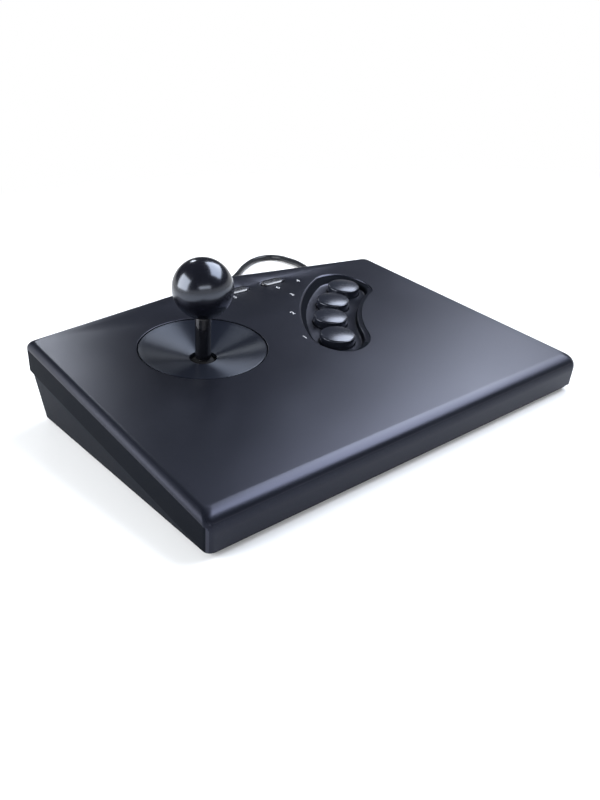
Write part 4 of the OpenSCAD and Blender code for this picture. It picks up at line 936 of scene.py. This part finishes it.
screwTree = screwTreeMake()
screwSets = {
    "caseScrewSet": {"node": "case_screws", "frame": lidFrame, "length": 11.2, "turns": 9.0,
                     "places": [(s * base["postU"], v, -22.2) for s in (-1, 1) for v in base["postV"]]},
    "boardScrewSet": {"node": "board_screws", "frame": lidFrame, "length": 6.6, "turns": 6.0,
                      "places": [(*capPlace(i, r), -16.2) for i in (3.5, 1.5) for r in (98, 132)]},
    "smallBoardScrewSet": {"node": "board_screws", "frame": lidFrame, "length": 5.6, "turns": 5.0,
                           "places": [(pills["u"] + s * 31, pills["v"], -10.6) for s in (-1, 1)]},
    "plateScrewSet": {"node": "lever_screws", "frame": leverFrame, "length": 7.5, "turns": 6.0,
                      "places": [(x, y, -14.5) for x in (-33, 33) for y in (-25, 25)]},
    "housingScrewSet": {"node": "lever_screws", "frame": leverFrame, "length": 4.0, "turns": 3.0,
                        "places": [(-19.5, 0, -17), (19.5, 0, -17)]},
}
screwSize = {"Head radius": 2.7 * mm, "Head height": 1.8 * mm, "Shank radius": 1.35 * mm, "Material": paint["screwSteel"]}
for name, one in screwSets.items():
    sizes = {**screwSize, "Length": one["length"] * mm, "Thread turns": one["turns"]}
    screwPiece = grow(name, pointMesh(name + "Points", one["places"]), screwTree, sizes, one["frame"], 30)
    finishPiece(screwPiece, one["node"], None)
print("stage: screws")


# lever: ball, sleeve, dust cover and centring spring

lever = {"ballR": 17.5, "ballW": 36.8, "ballFlat": 16.9, "threadR": 3.05, "threadDeep": 15.3, "sleeveR": 4.7, "boreR": 3.55,
         "sleeveLow": -6.8, "dustR": 11.9, "dustWall": 1.2, "dustHalf": 57, "steps": 96, "ballSteps": 60, "dustSteps": 16}


def ballLine(b):
    radius, flat, thread = b["ballR"], -b["ballFlat"], b["threadR"]
    edge, deep = math.sqrt(radius ** 2 - flat ** 2), flat + b["threadDeep"]
    first = math.degrees(math.atan2(flat, edge)) + 0.8
    line = [(0, deep), (thread, deep), (thread, flat + 0.2), (thread + 0.2, flat), (edge - 0.25, flat)]
    return line + [around(mix(first, 90, k / b["ballSteps"]), radius) for k in range(b["ballSteps"])] + [(0, radius)]


def dustLine(b):
    # the outer face from the bore to the rim, and the inner face back
    outR, inR, n, line = b["dustR"], b["dustR"] - b["dustWall"], b["dustSteps"], []
    outTop, inTop = math.degrees(math.asin(b["boreR"] / outR)), math.degrees(math.asin(b["boreR"] / inR))
    inLow = math.degrees(math.acos(outR * math.cos(math.radians(b["dustHalf"])) / inR))
    for radius, start, end in ((outR, outTop, b["dustHalf"]), (inR, inLow, inTop)):
        line += [around(mix(start, end, k / n), radius)[::-1] for k in range(n + 1)]
    return line


ballPlace, dustPlace = shifted(leverFrame, 0, 0, lever["ballW"]), shifted(leverFrame, 0, 0, -leverPlace["pivotDepth"])
finishPiece(turnedPiece("leverBallTop", ballLine(lever), ballPlace, lever["steps"], 40), "ball_top", "ball")
bore, sleeveR, sleeveLow = lever["boreR"], lever["sleeveR"], lever["sleeveLow"]
sleeveTop = lever["ballW"] - lever["ballFlat"] - 0.3
sleeveLine = softLine([(bore, 0, 0), (bore, sleeveLow, 0.1), (sleeveR, sleeveLow, 0.3), (sleeveR, sleeveTop, 0.4),
                       (bore, sleeveTop, 0.1), (bore, 1, 0)], 3)
finishPiece(turnedPiece("leverSleeve", sleeveLine, leverFrame), "shaft_sleeve", "sleeve")
finishPiece(turnedPiece("leverDustCover", dustLine(lever), dustPlace, 72), "dust_cover", "dust")

spring = {"turns": 2.0, "wire": 0.35, "lowR": 5.5, "highR": 7.3, "low": -31.25, "high": -28.75, "sides": 10, "steps": 40}
springNames = ("Turns", "Wire", "Low radius", "High radius", "Height")
springTree, given = geometryTree("coneSpring", dict.fromkeys(springNames, "Float"))
coil = shapeNode(springTree, "CurveSpiral", {
    "Resolution": spring["steps"], "Rotations": given["Turns"], "Start Radius": given["Low radius"],
    "End Radius": given["High radius"], "Height": given["Height"]})
endTree(springTree, given, tube(springTree, coil, given["Wire"], spring["sides"]))
springSizes = [spring["turns"], spring["wire"] * mm, spring["lowR"] * mm, spring["highR"] * mm,
               (spring["high"] - spring["low"]) * mm]
springPiece = grow("centringCoil", pointMesh("springPoint", [(0, 0, 0)]), springTree,
                   dict(zip(springNames, springSizes), Material=paint["springSteel"]),
                   shifted(leverFrame, 0, 0, spring["low"]), 0)
finishPiece(springPiece, "centring_spring", None)
print("stage: lever")


# buttons

button = {"radius": 11.0, "rise": 2.0, "flange": 1.6, "flangeTop": -7.9, "flangeLow": -9.1, "wall": 1.6, "stemR": 3.0,
          "stemLow": -9.4, "under": -0.95, "bevel": 0.75, "edge": 0.72, "steps": 84, "crownSteps": 12}


def buttonLine(b):
    r, wall, rim, n = b["radius"], b["radius"] - b["wall"], b["radius"] + b["flange"], b["crownSteps"]
    shoulder, reach = b["edge"] + 0.05, r - b["bevel"] - 0.3
    line = softLine([(0, b["stemLow"], 0), (b["stemR"], b["stemLow"], 0.2), (b["stemR"], b["under"], 0.3), (wall, b["under"], 0.3),
                     (wall, b["flangeLow"], 0.1), (rim, b["flangeLow"], 0.15), (rim, b["flangeTop"], 0.15),
                     (r, b["flangeTop"], 0.1), (r, 0.1, 0.25), (r - b["bevel"], b["edge"], 0.2), (reach, shoulder, 0)], 5)
    shares = [1 - (k + 1) / n for k in range(n)]
    return line + [(reach * share, mix(b["rise"], shoulder, share ** 2)) for share in shares]


for i in range(1, 5):
    cap = turnedPiece("mainButtonCap" + str(i), buttonLine(button), shifted(lidFrame, *capPlace(i), 0), button["steps"], 60)
    finishPiece(cap, "main_button_" + str(i), "button")

smallButton = {"length": 17.0, "width": 7.0, "low": -3.9, "flange": 1.2, "flangeLow": -4.9, "stemR": 2.0, "stemLow": -6.2,
               "crown": [(0.0, 0.0), (0.08, 0.3), (0.3, 0.58), (0.7, 0.77), (1.3, 0.87), (2.2, 0.9)], "lean": 0.17}


def buildSmallButton(b):
    bm = bmesh.new()
    wide, line = 2 * b["flange"], [(-2 * down, w) for down, w in b["crown"]]
    line = [(wide, b["flangeLow"]), (wide, b["low"]), (0, b["low"])] + line
    rings = skin(bm, [slotRing(0, 0, b["length"] + more, b["width"] + more, w) for more, w in line])
    for vert in [vert for ring in rings[3:] for vert in ring]:
        vert.co.z *= 1 + b["lean"] * vert.co.y
    fillSheet(bm, rings[-1])
    stem = skin(bm, [circleRing(0, 0, b["stemR"], w, 32) for w in (b["flangeLow"], b["stemLow"])])
    fillSheet(bm, rings[0], [stem[0]])
    bm.faces.new(stem[1])
    return bm


for s, node, name in ((1, "start_button", "smallButtonRight"), (-1, "select_button", "smallButtonLeft")):
    piece = newMeshPiece(name, buildSmallButton(smallButton), shifted(lidFrame, *pillPlace(s), 0), 50)
    finishPiece(piece, node, "smallButton")

# rubber domes under every button
dome = {"footR": 7.0, "topR": 4.0, "high": 4.9, "base": -14.6, "skin": 0.7, "pad": 0.8, "give": 2.55}
smallDome = {"footR": 4.7, "topR": 2.0, "high": 2.5, "base": -9.0, "skin": 0.7, "pad": 0.8, "give": 1.05}


def domeLine(d):
    foot, top, h, thin, pad = d["footR"], d["topR"], d["high"], d["skin"], d["pad"]
    well, side = foot - 3 * thin, foot - thin
    return softLine([(0, h - pad, 0), (top - thin, h - pad, 0.3), (well, thin, 0.3), (well, 0, 0.05), (foot, 0, 0.1),
                     (foot, pad, 0.15), (side, pad, 0.3), (mix(side, top, 0.55), mix(pad, h, 0.35), 0.8), (top, h, 0.35),
                     (top * 0.6, h, 0.2), (top * 0.5, h - 0.15, 0.2), (0, h - 0.15, 0)], 3)


domeSets = [("domeUnder" + str(i), "dome_" + str(i), "main_button_" + str(i) + "_press", capPlace(i), dome) for i in range(1, 5)]
domeSets += [("smallDomeRight", "small_dome_start", "start_button_press", pillPlace(1), smallDome),
             ("smallDomeLeft", "small_dome_select", "select_button_press", pillPlace(-1), smallDome)]
for name, node, press, spot, d in domeSets:
    place = shifted(lidFrame, *spot, d["base"])
    piece = turnedPiece(name, domeLine(d), place, 48)
    finishPiece(piece, node, "domes")
    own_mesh(piece)
print("stage: buttons")

# plain digits beside the buttons
digits = {"size": 5.2, "lift": 0.05, "thick": 0.04, "places": [("1", 6.8, 109.5), ("2", 21.9, 140.5), ("3", 39.9, 163.8),
                                                               ("4", 58.4, 180.5), ("5", 3.9, 180.2), ("6", 38.7, 178.3)]}
for text, u, v in digits["places"]:
    curve = bpy.data.curves.new("digit" + text, "FONT")
    curve.body = text
    curve.size = digits["size"] * mm
    curve.align_x, curve.align_y = "CENTER", "CENTER"
    curve.extrude = digits["thick"] / 2 * mm
    piece = grow("buttonDigit" + text, curve, place=shifted(lidFrame, u, v, digits["lift"]))
    finishPiece(piece, (), "digits", "case")
print("stage: digits")


# wires inside

loomTree, given = geometryTree("wireBundle", {"Strands": "Int", "Wire": "Float", "Bundle": "Float", "Twist": "Float"})
strands = addNode(loomTree, "GeometryNodeDuplicateElements", {"Geometry": given["Geometry"], "Amount": given["Strands"]},
                  domain="SPLINE").outputs
part = maths(loomTree, "DIVIDE", strands["Duplicate Index"], given["Strands"])
marked = shapeNode(loomTree, "StoreNamedAttribute", {"Geometry": strands[0], "Name": "strand", "Value": part},
                   data_type="FLOAT", domain="POINT")
runLength = addNode(loomTree, "GeometryNodeSplineParameter").outputs["Length"]
angle = maths(loomTree, "MULTIPLY", maths(loomTree, "MULTIPLY_ADD", runLength, given["Twist"], part), 2 * math.pi)
turn = {"Vector": shapeNode(loomTree, "InputNormal"), "Axis": shapeNode(loomTree, "InputTangent"), "Angle": angle}
outward = lookNode(loomTree, "VectorRotate", turn, rotation_type="AXIS_ANGLE")
moved = lookNode(loomTree, "VectorMath", {0: outward, "Scale": given["Bundle"]}, operation="SCALE")
laid = shapeNode(loomTree, "SetPosition", {"Geometry": marked, "Offset": moved})
endTree(loomTree, given, tube(loomTree, laid, given["Wire"], 8))

ringR, ringW, loomTwist, loomStep = 26.836, -31.5, 28.0, 1.5
runStart = leverPlace["u"] + ringR
looms = {
    "leverLoomRing": {"node": "lever_loom", "frame": leverFrame, "strands": 4, "wire": 0.5, "bundle": 0.85,
                      "points": [(*around(a, ringR), ringW) for a in range(-90, 181, 5)]},
    "leverLoomRun": {"node": "lever_loom", "frame": lidFrame, "strands": 6, "wire": 0.45, "bundle": 0.95,
                     "points": [(runStart + 1.8, leverPlace["v"], ringW), (runStart + 4.8, leverPlace["v"], ringW),
                                (-14.55, 128.19, -29.475), (-6.09, 121.37, -26.775), (0.17, 114.24, -23.67),
                                (4.59, 108.66, -21.24), (9.74, 103.7, -19.08), (16, 100.6, -18)]},
    "boardLoomRun": {"node": "board_loom", "frame": lidFrame, "strands": 4, "wire": 0.4, "bundle": 0.62,
                     "points": [(40, 184, -13), (42, 178, -13.3), (45, 172, -13.6), (49, 166, -13.5), (53, 161, -13.3)]},
}
for name, one in looms.items():
    sizes = {"Strands": one["strands"], "Wire": one["wire"] * mm, "Bundle": one["bundle"] * mm, "Twist": loomTwist,
             "Material": paint["wires"]}
    piece = grow(name, lineCurve(name + "Line", smoothLine(one["points"], loomStep)), loomTree, sizes, one["frame"], 0)
    finishPiece(piece, one["node"], None)
print("stage: looms")


# the parts that stay as they are only get their finish

stay = {"lever_plate": "plateSteel", "lever_housing": "inner", "restrictor_gate": "white", "switch_right": "switch",
        "switch_back": "switch", "switch_left": "switch", "switch_front": "switch", "spring_seat": "plateSteel",
        "pivot_ring": "white", "pivot_block": "white", "lever_shaft": "leverSteel", "actuator": "white", "e_clip": "springSteel",
        "button_board": "board", "small_board": "board", "plug_shell": "plug", "plug_insert": "plugMetal",
        "plug_screws": "plugMetal"}
for node, key in stay.items():
    kept = frame["nodes"][node]
    if not kept.material_slots:
        kept.data.materials.append(paint[key])
    for holder in kept.material_slots:
        holder.material = paint[key]
print("stage: kept parts", len(stay))


# floor, backdrop and lamps

studio = {"floorSize": 60.0, "floorDrop": 0.0003, "paper": 0.93, "nearGlow": 0.14, "nearReach": 0.24, "farReach": 1.0,
          "centre": (0.02, 0.02, 0), "room": (0.93, 0.97, 1.0), "roomStrength": 0.42, "horizon": (1, 1, 1),
          "above": (0.07, 0.075, 0.09), "fadeFrom": 0.065, "fadeTo": 0.2}


def seenRays(tree):
    # camera, glossy and transmission rays see the pale background, so metal and gloss show it too
    path = addNode(tree, "ShaderNodeLightPath").outputs
    seen = maths(tree, "MAXIMUM", path["Is Camera Ray"], path["Is Glossy Ray"])
    return maths(tree, "MAXIMUM", seen, path["Is Transmission Ray"])


def mixedTree(holder, endKind, makeSides):
    # a material or world whose output mixes two shaders
    holder.use_nodes = True
    tree = holder.node_tree
    tree.nodes.clear()
    end = tree.nodes.new(endKind)
    both = lookNode(tree, "MixShader", dict(enumerate(makeSides(tree))))
    tree.links.new(both, end.inputs["Surface"])


def floorSides(tree):
    where = addNode(tree, "ShaderNodeTexCoord").outputs["Object"]
    away = addNode(tree, "ShaderNodeVectorMath", {0: where, 1: studio["centre"]}, operation="DISTANCE").outputs["Value"]
    near = spread(tree, away, studio["nearReach"], studio["farReach"], studio["nearGlow"], 1.0, interpolation_type="SMOOTHSTEP")
    paper = lookNode(tree, "BsdfDiffuse", {"Color": (studio["paper"], studio["paper"], studio["paper"], 1)})
    glow = lookNode(tree, "Emission", {"Color": (1, 1, 1, 1), "Strength": 1.0})
    return maths(tree, "MULTIPLY", seenRays(tree), near), paper, glow


def worldSides(tree):
    where = addNode(tree, "ShaderNodeTexCoord").outputs["Generated"]
    height = addNode(tree, "ShaderNodeSeparateXYZ", {"Vector": where}).outputs["Z"]
    fade = spread(tree, height, studio["fadeFrom"], studio["fadeTo"], interpolation_type="SMOOTHSTEP")
    room = lookNode(tree, "Background", {"Color": (*studio["room"], 1), "Strength": studio["roomStrength"]})
    wall = blendColours(tree, fade, studio["horizon"], studio["above"])
    return seenRays(tree), room, lookNode(tree, "Background", {"Color": wall, "Strength": 1.0})


def makeFloor():
    mesh = bpy.data.meshes.new("floor")
    h, z = studio["floorSize"] / 2, -studio["floorDrop"]
    mesh.from_pydata([(-h, -h, z), (h, -h, z), (h, h, z), (-h, h, z)], [], [(0, 1, 2, 3)])
    material = bpy.data.materials.new("floorPaper")
    mixedTree(material, "ShaderNodeOutputMaterial", floorSides)
    mesh.materials.append(material)
    addObject("floor", mesh)


def makeWorld():
    world = bpy.data.worlds.new("studio")
    mixedTree(world, "ShaderNodeOutputWorld", worldSides)
    bpy.context.scene.world = world


# each softbox by its compass way from the back wall, its height angle, its spread both ways and its glow
lamps = {
    "softboxRight": {"way": 99, "height": 51, "wide": 84, "high": 35, "reach": 1.3, "glow": 6.7, "colour": (0.85, 0.9, 1.0)},
    "softboxLeft": {"way": -66, "height": 23, "wide": 50, "high": 36, "reach": 1.6, "glow": 6.5, "colour": (0.96, 0.98, 1.0)},
    "softboxFront": {"way": -155, "height": 19, "wide": 44, "high": 9, "reach": 2.0, "glow": 4.0, "colour": (0.98, 0.99, 1.0)},
    "softboxBack": {"way": 14, "height": 36, "wide": 8, "high": 9, "reach": 1.5, "glow": 9.0, "colour": (0.92, 0.96, 1.0)},
}
lampAim, lampPower = Vector((0, 0, 0.04)), 4    # watts for each unit of glow and square metre


def makeLamp(name, lamp):
    way, height = math.radians(lamp["way"]), math.radians(lamp["height"])
    out = Vector((math.sin(way) * math.cos(height), math.cos(way) * math.cos(height), math.sin(height)))
    data = bpy.data.lights.new(name, "AREA")
    data.shape = "RECTANGLE"
    data.size = 2 * lamp["reach"] * math.tan(math.radians(lamp["wide"] / 2)) * math.cos(height)
    data.size_y = 2 * lamp["reach"] * math.tan(math.radians(lamp["high"] / 2))
    data.energy = lampPower * lamp["glow"] * data.size * data.size_y
    data.color = lamp["colour"]
    light = addObject(name, data)
    light.visible_camera = False
    light.location = lampAim + out * lamp["reach"]
    light.rotation_euler = (-out).to_track_quat("-Z", "Y").to_euler()


makeFloor()
makeWorld()
for name, lamp in lamps.items():
    makeLamp(name, lamp)
bpy.context.scene.view_settings.view_transform = "Standard"
bpy.context.view_layer.update()


print("stage: floor and light")
